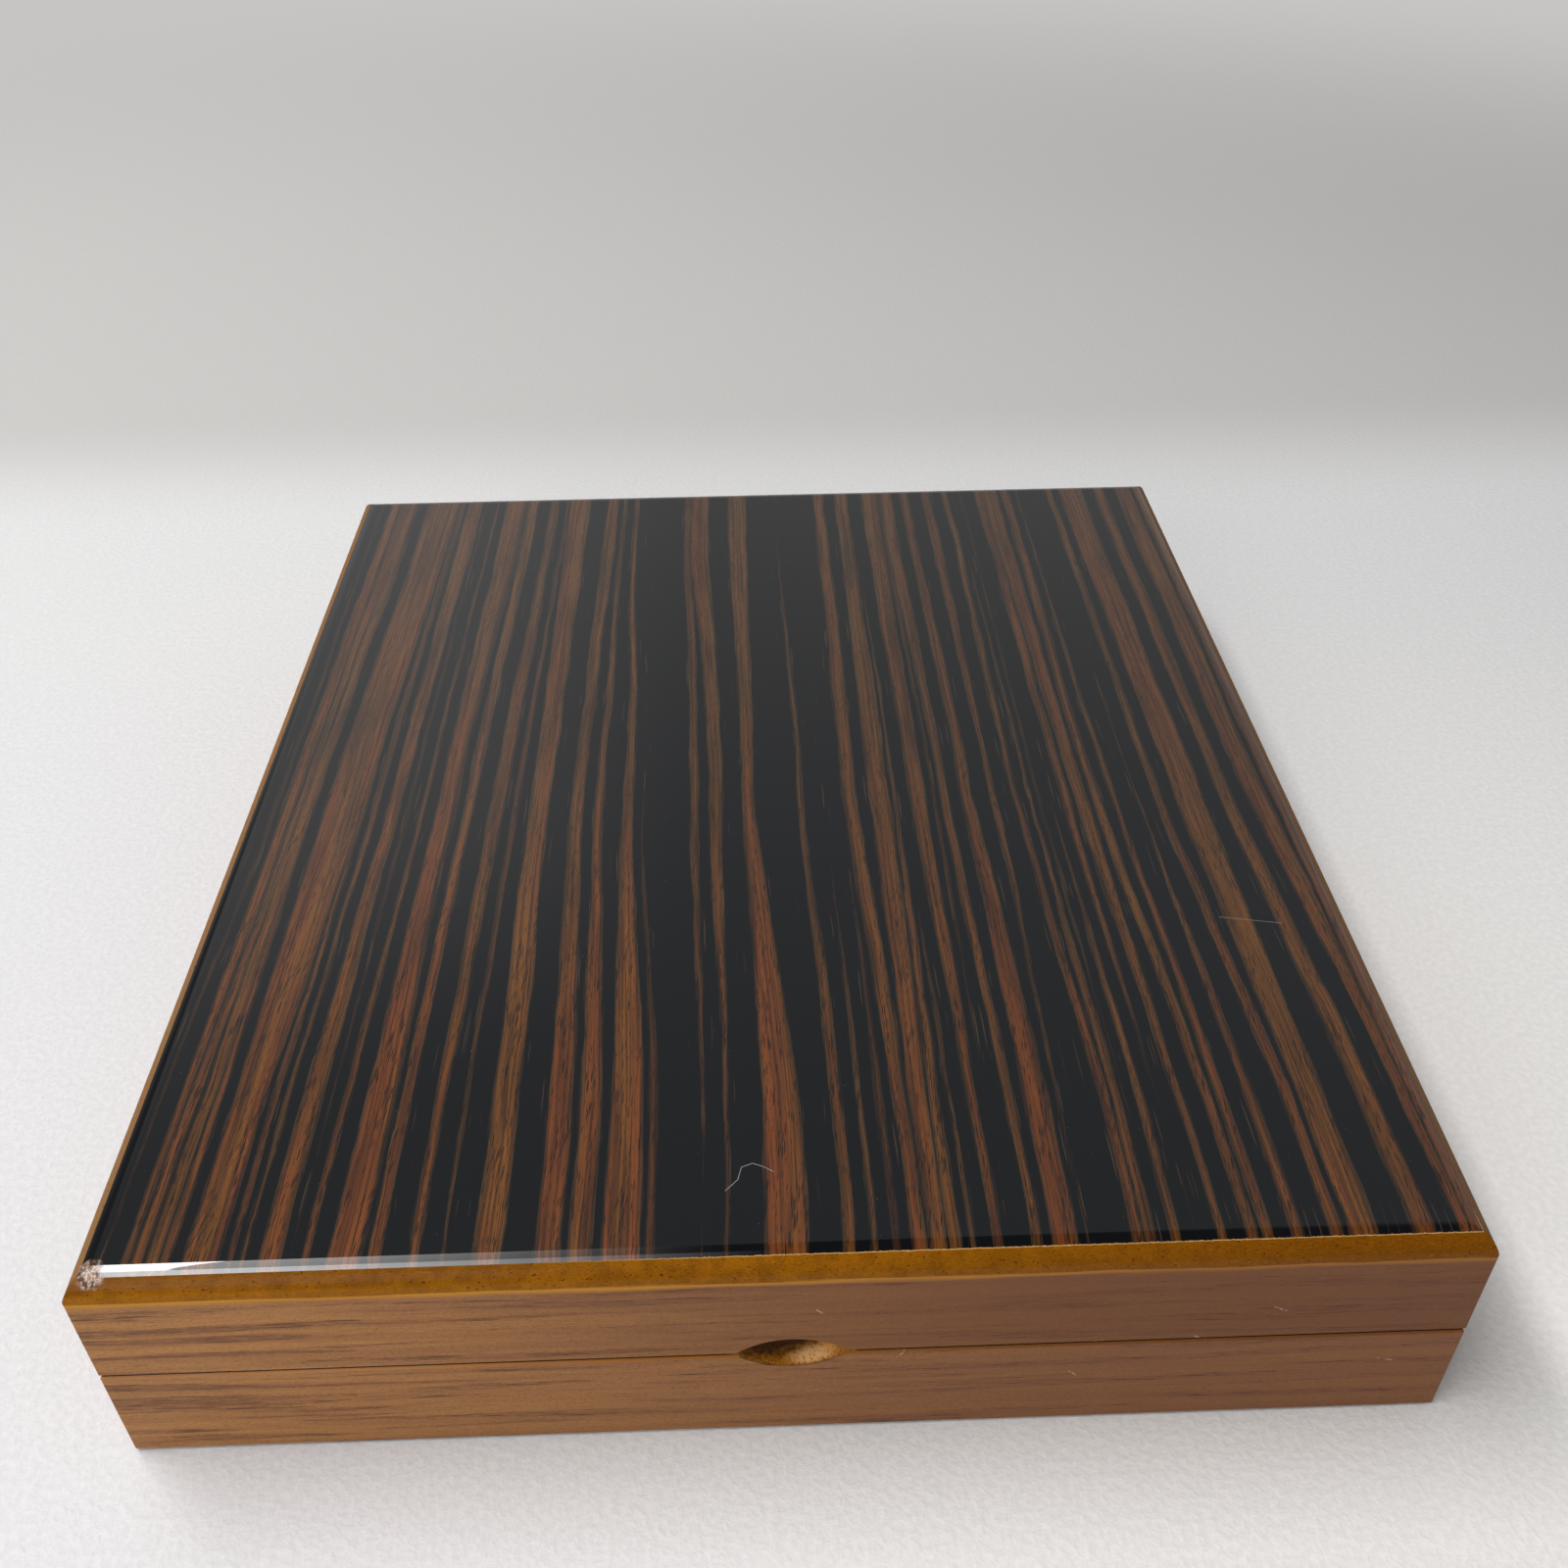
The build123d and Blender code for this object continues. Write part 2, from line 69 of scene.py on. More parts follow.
# Front left corner of the lid, where the lacquer is chipped
CHIP_CENTRE = (-122.2, -143.4, 52.7)
CHIP_REACH = 3.1

# The thumb notch in the middle of the front. Its painted highlight lies at a place along x and a depth behind
# the front, and is as many times longer than deep as its stretch.
NOTCH_CENTRE = (0.7, -146.5, 26.0)
NOTCH_REACH = 11.5
NOTCH_GLEAM = (4.5, 1.5)
NOTCH_STRETCH = 3.0

# A stretch of lint that lies on the lid, as the points of its line, and a scratch farther back on the right
LINT = ((-10.8, -129.9), (-8.5, -127.5), (-7.8, -124.7), (-5.7, -123.9), (-3.8, -124.7), (-1.9, -125.9))
SCRATCH = ((98.0, -61.0), (111.0, -63.5))

# Pale nicks and lint on the front, each with the x and z of its two ends
NICKS = (
    ((5.2, 39.4), (6.3, 38.3)),
    ((53.2, 16.6), (54.6, 15.2)),
    ((89.2, 35.4), (91.4, 34.2)),
    ((55.2, 26.0), (58.6, 26.6)),
    ((75.6, 27.0), (78.0, 25.4)),
    ((112.0, 17.4), (115.0, 16.6)),
    ((20.4, 23.4), (22.0, 26.0)),
)

# Height of the ceiling lamps over the floor, in metres
CEILING = 1.98

# The photograph's camera: its place in metres, its turn in degrees, its lens and film width in millimetres
CAMERA_PLACE = (-0.003867, -0.306972, 0.284889)
CAMERA_TURN = (52.067, 0.497, -1.886)
CAMERA_LENS = 35.37
CAMERA_FILM = 36.0

# The hygrometer's scale: the radii of its arc and its numbers, the lengths of its marks, the size of its
# numbers, the turn of its first mark and of each part in a hundred, in degrees, and the print's thickness
SCALE_RADIUS = 13.8
NUMBER_RADIUS = 9.6
LONG_MARK = 2.4
SHORT_MARK = 1.3
NUMBER_SIZE = 3.0
SCALE_START = -135.0
SCALE_STEP = 2.7
PRINT_THICKNESS = 0.04

# Brown streaks of the top veneer, read off the lid: the place of each one's middle and its width
# at the back, middle and front stations, and how strongly it shows.
STATIONS = (126.5, -5.5, -128.5)
STREAKS = (
    ((-119.5, -119.0, -121.0), (0.8, 1.0, 0.5), 0.4),
    ((-115.5, -115.8, -116.4), (3.0, 3.0, 1.3), 0.9),
    ((-112.0, -113.2, -114.4), (3.5, 2.0, 2.0), 0.9),
    ((-110.0, -111.2, -111.8), (3.0, 2.6, 2.2), 0.95),
    ((-108.5, -110.0, -109.6), (1.0, 1.0, 1.7), 0.8),
    ((-100.3, -102.3, -103.5), (9.3, 9.3, 6.2), 0.95),
    ((-96.0, -97.8, -98.3), (1.5, 1.2, 1.2), 0.8),
    ((-94.0, -95.0, -96.0), (1.6, 1.5, 0.8), 0.8),
    ((-90.0, -90.5, -91.2), (4.7, 3.0, 4.0), 0.95),
    ((-86.5, -87.0, -87.5), (0.6, 0.9, 0.3), 0.4),
    ((-82.8, -83.4, -84.7), (0.6, 1.1, 1.4), 0.85),
    ((-77.0, -78.0, -78.0), (5.7, 4.2, 5.6), 0.95),
    ((-73.8, -75.8, -75.6), (1.0, 1.0, 1.0), 0.6),
    ((-71.2, -72.2, -73.0), (3.4, 2.3, 2.3), 1.0),
    ((-64.3, -65.5, -66.0), (2.6, 3.6, 1.9), 0.8),
    ((-60.3, -61.0, -61.0), (0.8, 1.5, 0.7), 0.7),
    ((-56.2, -55.3, -53.1), (6.3, 4.7, 5.2), 1.0),
    ((-45.8, -46.3, -42.2), (3.7, 3.0, 4.8), 0.9),
    ((-42.0, -41.0, -36.5), (1.2, 2.0, 4.0), 0.9),
    ((-38.2, -34.0, -29.5), (1.4, 2.2, 6.6), 1.0),
    ((-35.0, -30.5, -24.3), (0.0, 0.3, 1.6), 0.55),
    ((-21.8, -18.2, -14.9), (2.0, 2.2, 0.3), 0.8),
    ((-18.2, -12.9, -10.6), (5.5, 3.3, 0.6), 0.9),
    ((-6.5, -4.9, 0.2), (5.6, 2.9, 7.5), 1.0),
    ((5.5, 7.7, 11.0), (0.3, 1.3, 2.3), 0.85),
    ((12.0, 13.0, 15.5), (0.0, 0.0, 1.1), 0.8),
    ((17.0, 17.5, 19.4), (0.0, 0.0, 1.4), 0.5),
    ((19.8, 19.8, 23.5), (3.5, 3.6, 2.6), 0.95),
    ((27.0, 27.0, 26.8), (4.0, 4.8, 3.4), 0.95),
    ((30.0, 30.5, 29.8), (0.0, 0.8, 2.2), 0.9),
    ((31.0, 31.5, 33.0), (0.0, 0.0, 0.9), 0.8),
    ((35.8, 36.0, 37.4), (5.0, 3.8, 1.8), 0.9),
    ((39.0, 40.0, 40.0), (1.0, 0.8, 0.2), 0.6),
    ((41.0, 42.6, 44.4), (4.0, 2.2, 1.8), 0.9),
    ((47.3, 48.2, 49.6), (2.6, 2.8, 4.8), 0.9),
    ((54.5, 54.5, 53.7), (2.8, 1.5, 0.4), 0.85),
    ((60.6, 59.8, 62.6), (2.0, 1.5, 2.0), 0.9),
    ((63.0, 63.2, 64.8), (0.3, 0.8, 1.9), 0.9),
    ((65.5, 65.3, 66.5), (0.5, 0.7, 0.3), 0.5),
    ((68.0, 68.0, 69.4), (0.0, 0.2, 1.8), 0.9),
    ((71.5, 71.5, 73.0), (2.5, 2.1, 0.2), 0.9),
    ((75.0, 75.1, 77.4), (4.5, 3.2, 1.6), 0.9),
    ((80.0, 78.8, 82.8), (2.5, 2.3, 2.0), 0.9),
    ((83.5, 83.2, 85.6), (0.5, 1.4, 2.0), 0.9),
    ((89.0, 89.0, 91.1), (0.0, 0.4, 2.2), 0.9),
    ((94.3, 94.0, 98.0), (2.0, 2.0, 2.3), 0.9),
    ((101.2, 101.5, 102.7), (7.5, 6.8, 5.2), 0.95),
    ((110.2, 110.5, 113.5), (3.5, 3.2, 4.2), 0.9),
    ((118.0, 117.8, 121.0), (5.0, 5.0, 2.0), 0.9),
    ((123.0, 122.8, 123.2), (3.5, 3.0, 3.0), 0.9),
)


def shade(red, green, blue):
    """A colour given as it shows on a screen, 0 to 255, as Blender's linear colour."""
    screen = np.array((red, green, blue)) / 255
    linear = np.where(screen <= 0.04045, screen / 12.92, ((screen + 0.055) / 1.055) ** 2.4)
    return (*linear.tolist(), 1.0)


class Paint:
    """Writes one shader node tree. Each method adds a node and gives back the socket that it puts out."""

    def __init__(self, tree):
        self.tree = tree

    def feed(self, socket, value):
        """Links a socket to another one, or sets its value."""
        if isinstance(value, bpy.types.NodeSocket):
            self.tree.links.new(value, socket)
        else:
            socket.default_value = value

    def add(self, kind, feeds, out=0, **settings):
        """A node of a kind, with its settings and with its inputs fed by name or number."""
        node = self.tree.nodes.new(kind)
        for name, value in settings.items():
            setattr(node, name, value)
        for socket, value in feeds.items():
            self.feed(node.inputs[socket], value)
        return node.outputs[out] if node.outputs else None

    def math(self, operation, *values):
        """The outcome of an operation on numbers."""
        return self.add("ShaderNodeMath", dict(enumerate(values)), operation=operation)

    def vector(self, operation, *values, out=0):
        """The outcome of an operation on vectors: a vector, or a number where out is Value."""
        return self.add("ShaderNodeVectorMath", dict(enumerate(values)), out=out, operation=operation)

    def separate(self, vector):
        """The three numbers of a vector."""
        first = self.add("ShaderNodeSeparateXYZ", {0: vector})
        return tuple(first.node.outputs)

    def combine(self, x, y, z):
        """The vector of three numbers."""
        return self.add("ShaderNodeCombineXYZ", {0: x, 1: y, 2: z})

    def point(self):
        """The place on the object, in millimetres."""
        place = self.add("ShaderNodeTexCoord", {}, out="Object")
        return self.vector("MULTIPLY", place, (1 / MM, 1 / MM, 1 / MM))

    def ramp(self, value, low, high, bottom=0.0, top=1.0):
        """Goes smoothly from bottom at low to top at high, and stays there."""
        feeds = {"Value": value, "From Min": low, "From Max": high, "To Min": bottom, "To Max": top}
        return self.add("ShaderNodeMapRange", feeds, interpolation_type="SMOOTHSTEP")

    def between(self, share, first, second):
        """A number that goes from the first to the second by the share."""
        return self.math("MULTIPLY_ADD", self.math("SUBTRACT", second, first), share, first)

    def noise(self, vector, size, detail=2.0, roughness=0.5):
        """Soft noise, about 0.5, whose lumps have these sizes along the three axes."""
        scaled = self.vector("DIVIDE", vector, size)
        feeds = {"Vector": scaled, "Scale": 1.0, "Detail": detail, "Roughness": roughness}
        return self.add("ShaderNodeTexNoise", feeds)

    def sway(self, vector, size, reach):
        """Noise that goes from about minus reach to plus reach."""
        return self.math("MULTIPLY", self.math("SUBTRACT", self.noise(vector, size), 0.5), 4 * reach)

    def mix(self, share, first, second):
        """The first colour, turned into the second by the share."""
        return self.add("ShaderNodeMix", {0: share, 6: first, 7: second}, out=2, data_type="RGBA")

    def bump(self, height, distance, strength):
        """A normal that follows a height, whose full range is a distance in millimetres."""
        return self.add("ShaderNodeBump", {"Height": height, "Distance": distance * MM, "Strength": strength})

    def use(self, effect, feeds, out=0):
        """Places a shared effect with its own values."""
        return self.add("ShaderNodeGroup", feeds, out=out, node_tree=effect)


def new_effect(name, inputs, outputs):
    """An empty node group with its named sockets: the group, a Paint for it, its inputs and its outputs."""
    group = bpy.data.node_groups.new(name, "ShaderNodeTree")
    for label, kind in inputs.items():
        group.interface.new_socket(label, in_out="INPUT", socket_type="NodeSocket" + kind)
    for label, kind in outputs.items():
        group.interface.new_socket(label, in_out="OUTPUT", socket_type="NodeSocket" + kind)
    taken = group.nodes.new("NodeGroupInput").outputs
    given = group.nodes.new("NodeGroupOutput").inputs
    return group, Paint(group), taken, given


def new_material(name):
    """A material with an empty node tree, and a Paint for it."""
    material = bpy.data.materials.new(name)
    material.use_nodes = True
    material.node_tree.nodes.clear()
    return material, Paint(material.node_tree)


def surface(paint, feeds):
    """Ends a material with its surface shader, fed by the names of its sockets."""
    shader = paint.add("ShaderNodeBsdfPrincipled", feeds)
    paint.add("ShaderNodeOutputMaterial", {"Surface": shader})


# Effects that several materials share


def streak_effect():
    """One brown streak, which bends and widens between the stations, set against the deepest one so far.

    Depth is how far the point lies inside the streak's edge, and Local is its place across the streak.
    """
    group, paint, taken, given = new_effect(
        "brown_streak",
        {"Across": "Float", "Weights": "Vector", "Path": "Vector", "Width": "Vector", "Strength": "Float",
         "Last Depth": "Float", "Last Local": "Float", "Last Strength": "Float"},
        {"Depth": "Float", "Local": "Float", "Strength": "Float"})
    middle = paint.vector("DOT_PRODUCT", taken["Weights"], taken["Path"], out="Value")
    width = paint.vector("DOT_PRODUCT", taken["Weights"], taken["Width"], out="Value")
    _, start, _ = paint.separate(taken["Path"])
    off = paint.math("SUBTRACT", taken["Across"], middle)
    thinning = paint.ramp(width, 0.6, 0.0, top=0.5)
    depth = paint.math("SUBTRACT", paint.math("MULTIPLY", width, 0.5), paint.math("ABSOLUTE", off))
    depth = paint.math("SUBTRACT", depth, thinning)
    nearer = paint.math("GREATER_THAN", depth, taken["Last Depth"])
    paint.feed(given["Depth"], paint.math("MAXIMUM", depth, taken["Last Depth"]))
    paint.feed(given["Local"], paint.between(nearer, taken["Last Local"], paint.math("ADD", off, start)))
    paint.feed(given["Strength"], paint.between(nearer, taken["Last Strength"], taken["Strength"]))
    return group


def pores_effect():
    """Slim dashes along the grain, where the pores are cut open: one of a chance length in each long cell.

    Spacing is the size of a cell across and along the grain, and Reach is the longest dash's half of it.
    """
    group, paint, taken, given = new_effect(
        "open_pores",
        {"Point": "Vector", "Spacing": "Vector", "Reach": "Float"},
        {"Pores": "Float"})
    scaled = paint.vector("DIVIDE", taken["Point"], taken["Spacing"])
    off = paint.add("ShaderNodeTexVoronoi", {"Vector": scaled, "Scale": 1.0}, voronoi_dimensions="2D")
    luck = paint.separate(off.node.outputs["Color"])[0]
    reach = paint.math("MULTIPLY", taken["Reach"], luck)
    paint.feed(given["Pores"], paint.ramp(off, reach, paint.math("MULTIPLY", reach, 0.5)))
    return group


def grain_effect():
    """The figure of a board: fine fibres and broad bands, both from noise drawn out along the grain."""
    group, paint, taken, given = new_effect(
        "long_grain",
        {"Point": "Vector", "Fine": "Vector", "Broad": "Vector"},
        {"Fibres": "Float", "Bands": "Float"})
    fibres = paint.noise(taken["Point"], taken["Fine"], detail=3.0, roughness=0.6)
    bands = paint.noise(taken["Point"], taken["Broad"])
    paint.feed(given["Fibres"], paint.ramp(fibres, 0.36, 0.66))
    paint.feed(given["Bands"], paint.ramp(bands, 0.38, 0.64))
    return group


def mark_effect():
    """A thin straight mark between two points of the surface, such as a scratch or a stretch of lint."""
    group, paint, taken, given = new_effect(
        "thin_mark",
        {"Point": "Vector", "Start": "Vector", "End": "Vector", "Width": "Float", "Under": "Float"},
        {"Marks": "Float"})
    run = paint.vector("SUBTRACT", taken["End"], taken["Start"])
    reach = paint.vector("SUBTRACT", taken["Point"], taken["Start"])
    along = paint.vector("DOT_PRODUCT", reach, run, out="Value")
    whole = paint.vector("DOT_PRODUCT", run, run, out="Value")
    share = paint.math("MINIMUM", paint.math("MAXIMUM", paint.math("DIVIDE", along, whole), 0.0), 1.0)
    nearest = paint.add("ShaderNodeVectorMath", {0: run, "Scale": share}, operation="SCALE")
    off = paint.vector("LENGTH", paint.vector("SUBTRACT", reach, nearest), out="Value")
    mark = paint.ramp(off, taken["Width"], paint.math("MULTIPLY", taken["Width"], 0.4))
    paint.feed(given["Marks"], paint.math("MAXIMUM", mark, taken["Under"]))
    return group


def chip_effect():
    """The bruised corner of the lid: clouded lacquer over bare wood, with pale cracks in its clouds."""
    group, paint, taken, given = new_effect(
        "chipped_corner",
        {"Point": "Vector"},
        {"Share": "Float", "Colour": "Color"})
    point = taken["Point"]
    off = paint.vector("DISTANCE", point, CHIP_CENTRE, out="Value")
    edge = paint.math("ADD", off, paint.sway(point, (2.4, 2.4, 2.4), 1.0))
    bends = [paint.sway(point, (size, size, size), 0.35) for size in (1.1, 1.4, 1.7)]
    bent = paint.vector("ADD", point, paint.combine(*bends))
    cracks = paint.add("ShaderNodeTexVoronoi", {"Vector": bent, "Scale": 1.05}, feature="DISTANCE_TO_EDGE")
    clouds = paint.noise(point, (1.3, 1.3, 1.3), detail=3.0)
    cracks = paint.math("MULTIPLY", paint.ramp(cracks, 0.14, 0.02), paint.ramp(clouds, 0.4, 0.54))
    bruised = paint.mix(paint.ramp(clouds, 0.38, 0.6), shade(88, 58, 36), shade(150, 122, 104))
    paint.feed(given["Colour"], paint.mix(paint.math("MULTIPLY", cracks, 0.6), bruised, shade(222, 208, 198)))
    paint.feed(given["Share"], paint.ramp(edge, CHIP_REACH, CHIP_REACH - 1.6))
    return group


streak = streak_effect()
pores = pores_effect()
grain = grain_effect()
thin_mark = mark_effect()
chipped_corner = chip_effect()


def on_board(paint, along):
    """The place on a board, as across and along its grain.

    The two ways across are added together, so the grain runs on over the board's edges.
    """
    place = dict(zip("XYZ", paint.separate(paint.point())))
    run = place.pop(along)
    return paint.combine(paint.math("ADD", *place.values()), run, 0.0)


# The wood


def torn_front(paint, point, none, full):
    """Where the foot of the top veneer is torn: along the front, from the middle to the right.

    The tear goes from none to full between these two heights over the veneer's foot, which are ragged.
    """
    x, y, z = paint.separate(point)
    cut = paint.math("ADD", z, paint.sway(point, (0.5, 0.5, 0.5), 0.04))
    torn = paint.ramp(cut, VENEER_FOOT + none, VENEER_FOOT + full)
    front = paint.math("MULTIPLY", paint.ramp(x, -50, 0), paint.ramp(y, 8 - HALF_DEPTH, 5 - HALF_DEPTH))
    return paint.math("MULTIPLY", torn, front)


def lacquered_ebony():
    """The near-black top veneer with its brown streaks, under thick clear lacquer."""
    material, paint = new_material("lacquered_ebony")
    point = paint.point()
    x, y, _ = paint.separate(point)
    flat = paint.combine(x, y, 0.0)
    wander = paint.math("ADD", paint.sway(flat, (16, 42, 1), 0.4), paint.sway(flat, (3, 14, 1), 0.1))
    across = paint.math("ADD", x, wander)
    back_share = paint.ramp(y, STATIONS[1], STATIONS[0])
    front_share = paint.ramp(y, STATIONS[1], STATIONS[2])
    middle_share = paint.math("SUBTRACT", paint.math("SUBTRACT", 1.0, back_share), front_share)
    weights = paint.combine(back_share, middle_share, front_share)

    depth, local, strength = -20.0, 0.0, 0.0
    for path, width, own_strength in STREAKS:
        feeds = {"Across": across, "Weights": weights, "Path": path, "Width": width, "Strength": own_strength,
                 "Last Depth": depth, "Last Local": local, "Last Strength": strength}
        depth, local, strength = paint.use(streak, feeds).node.outputs

    fibre = paint.combine(local, y, 0.0)
    leaning = paint.combine(paint.math("MULTIPLY_ADD", y, -0.06, local), y, 0.0)
    filaments = paint.sway(fibre, (0.16, 20, 1), 0.42)
    tufts = paint.sway(leaning, (0.5, 12, 1), 0.16)
    ragged = paint.math("ADD", depth, paint.math("ADD", filaments, tufts))
    fade = paint.ramp(paint.noise(fibre, (2.4, 40, 1)), 0.3, 0.6, bottom=0.6)
    streaks = paint.math("MULTIPLY", paint.ramp(ragged, -0.22, 0.16), paint.math("MULTIPLY", strength, fade))

    feeds = {"Point": fibre, "Fine": (0.16, 14, 1), "Broad": (5, 160, 1)}
    fibres, bands = paint.use(grain, feeds).node.outputs
    stripes = paint.ramp(paint.noise(fibre, (0.6, 80, 1), detail=3.0, roughness=0.6), 0.44, 0.6)
    brink = paint.ramp(depth, 1.0, 0.0)
    crowd = paint.ramp(paint.noise(leaning, (2.2, 16, 1)), 0.42, 0.6)
    feeds = {"Point": leaning, "Spacing": (0.32, 5, 1), "Reach": paint.between(crowd, 0.2, 0.58)}
    dashes = paint.use(pores, feeds)
    feeds = {"Point": fibre, "Spacing": (0.5, 44, 1), "Reach": paint.between(brink, 0.22, 0.42)}
    splits = paint.use(pores, feeds)
    far = paint.ramp(y, -120, 40)
    brown = paint.mix(bands, shade(123, 64, 27), shade(123, 75, 28))
    brown = paint.mix(far, brown, paint.mix(bands, shade(106, 62, 33), shade(98, 66, 35)))
    brown = paint.mix(paint.ramp(x, -50, 60, top=0.14), brown, shade(50, 34, 24))
    brown = paint.mix(paint.math("MULTIPLY", brink, 0.8), brown, shade(62, 50, 32))
    brown = paint.mix(paint.math("MULTIPLY", stripes, 0.6), brown, shade(36, 24, 15))
    brown = paint.mix(paint.math("MULTIPLY", fibres, 0.45), brown, shade(56, 32, 14))
    brown = paint.mix(paint.math("MULTIPLY", splits, 0.8), brown, shade(18, 13, 10))
    brown = paint.mix(paint.math("MULTIPLY", dashes, paint.between(far, 0.9, 0.5)), brown, shade(12, 9, 8))
    wisps = paint.use(pores, {"Point": fibre, "Spacing": (1.5, 60, 1), "Reach": 0.13})
    hint = paint.math("MULTIPLY", wisps, paint.ramp(depth, -3.0, -0.4, top=0.5))
    dusk = paint.mix(hint, shade(7, 8, 10), shade(84, 66, 48))
    wood = paint.mix(streaks, dusk, brown)

    marks = 0.0
    for start, end in zip(LINT, LINT[1:]):
        feeds = {"Point": flat, "Start": (*start, 0.0), "End": (*end, 0.0), "Width": 0.1, "Under": marks}
        marks = paint.use(thin_mark, feeds)
    wood = paint.mix(paint.math("MULTIPLY", marks, 0.6), wood, shade(168, 164, 158))
    feeds = {"Point": flat, "Start": (*SCRATCH[0], 0.0), "End": (*SCRATCH[1], 0.0), "Width": 0.12}
    wood = paint.mix(paint.math("MULTIPLY", paint.use(thin_mark, feeds), 0.45), wood, shade(150, 146, 140))
    dust = paint.ramp(paint.noise(flat, (0.5, 0.5, 1), detail=1.0), 0.8, 0.84, top=0.5)
    wood = paint.mix(dust, wood, shade(150, 148, 144))

    wood = paint.mix(torn_front(paint, point, 0.05, 0.01), wood, shade(176, 136, 84))
    chip = paint.use(chipped_corner, {"Point": point}, out="Share")
    wood = paint.mix(chip, wood, chip.node.outputs["Colour"])
    surface(paint, {"Base Color": wood, "Roughness": 0.5, "Specular IOR Level": 0.0, "Coat Roughness": 0.02,
                    "Coat IOR": 1.6, "Coat Weight": paint.math("MULTIPLY_ADD", chip, -0.9, 1.0)})
    return material


def fibre_colour(paint, point):
    """The colour of ochre-stained fibreboard, mottled and specked and duller on the sides, and its fibres."""
    x, y, z = paint.separate(point)
    mottle = paint.noise(point, (3, 3, 3), detail=3.0)
    fibres = paint.noise(point, (0.9, 0.25, 0.25), detail=3.0, roughness=0.7)
    soot = paint.noise(point, (0.6, 0.3, 0.3), roughness=0.7)
    specks = paint.ramp(paint.noise(point, (0.7, 0.5, 0.4), detail=1.0), 0.69, 0.74)
    from_side = paint.math("SUBTRACT", HALF_WIDTH, paint.math("ABSOLUTE", x))
    from_front = paint.math("ADD", y, HALF_DEPTH)
    flank = paint.math("MULTIPLY", paint.ramp(paint.math("SUBTRACT", from_front, from_side), 0.0, 1.5),
                       paint.ramp(from_side, 5.0, 4.0))
    flank = paint.math("MULTIPLY", flank, paint.ramp(z, FEATHER_FOOT - 0.6, FEATHER_FOOT))
    ochre = paint.mix(paint.ramp(x, -20, 110), shade(137, 84, 5), shade(114, 66, 3))
    ochre = paint.mix(paint.ramp(mottle, 0.35, 0.7, top=0.7), ochre, shade(108, 62, 3))
    ochre = paint.mix(paint.ramp(fibres, 0.5, 0.75, top=0.4), ochre, shade(166, 108, 22))
    ochre = paint.mix(paint.ramp(soot, 0.5, 0.7, top=0.6), ochre, shade(84, 48, 8))
    # Darker towards the top of the ochre edge and paler below it, on the left.
    height_tone = paint.ramp(z, OCHRE_TONE_LOW, OCHRE_TONE_HIGH, bottom=-0.16, top=0.36)
    deep = paint.math("MULTIPLY", paint.ramp(x, 0, -90), height_tone)
    pale = paint.math("MULTIPLY", deep, -1.0)
    ochre = paint.mix(paint.math("MAXIMUM", deep, 0.0), ochre, shade(86, 46, 3))
    ochre = paint.mix(paint.math("MAXIMUM", pale, 0.0), ochre, shade(186, 122, 16))
    dull = paint.mix(paint.ramp(x, -60, 60), shade(134, 98, 62), shade(112, 82, 56))
    ochre = paint.mix(paint.math("MULTIPLY", flank, 0.8), ochre, dull)
    return paint.mix(specks, ochre, shade(64, 36, 8)), fibres


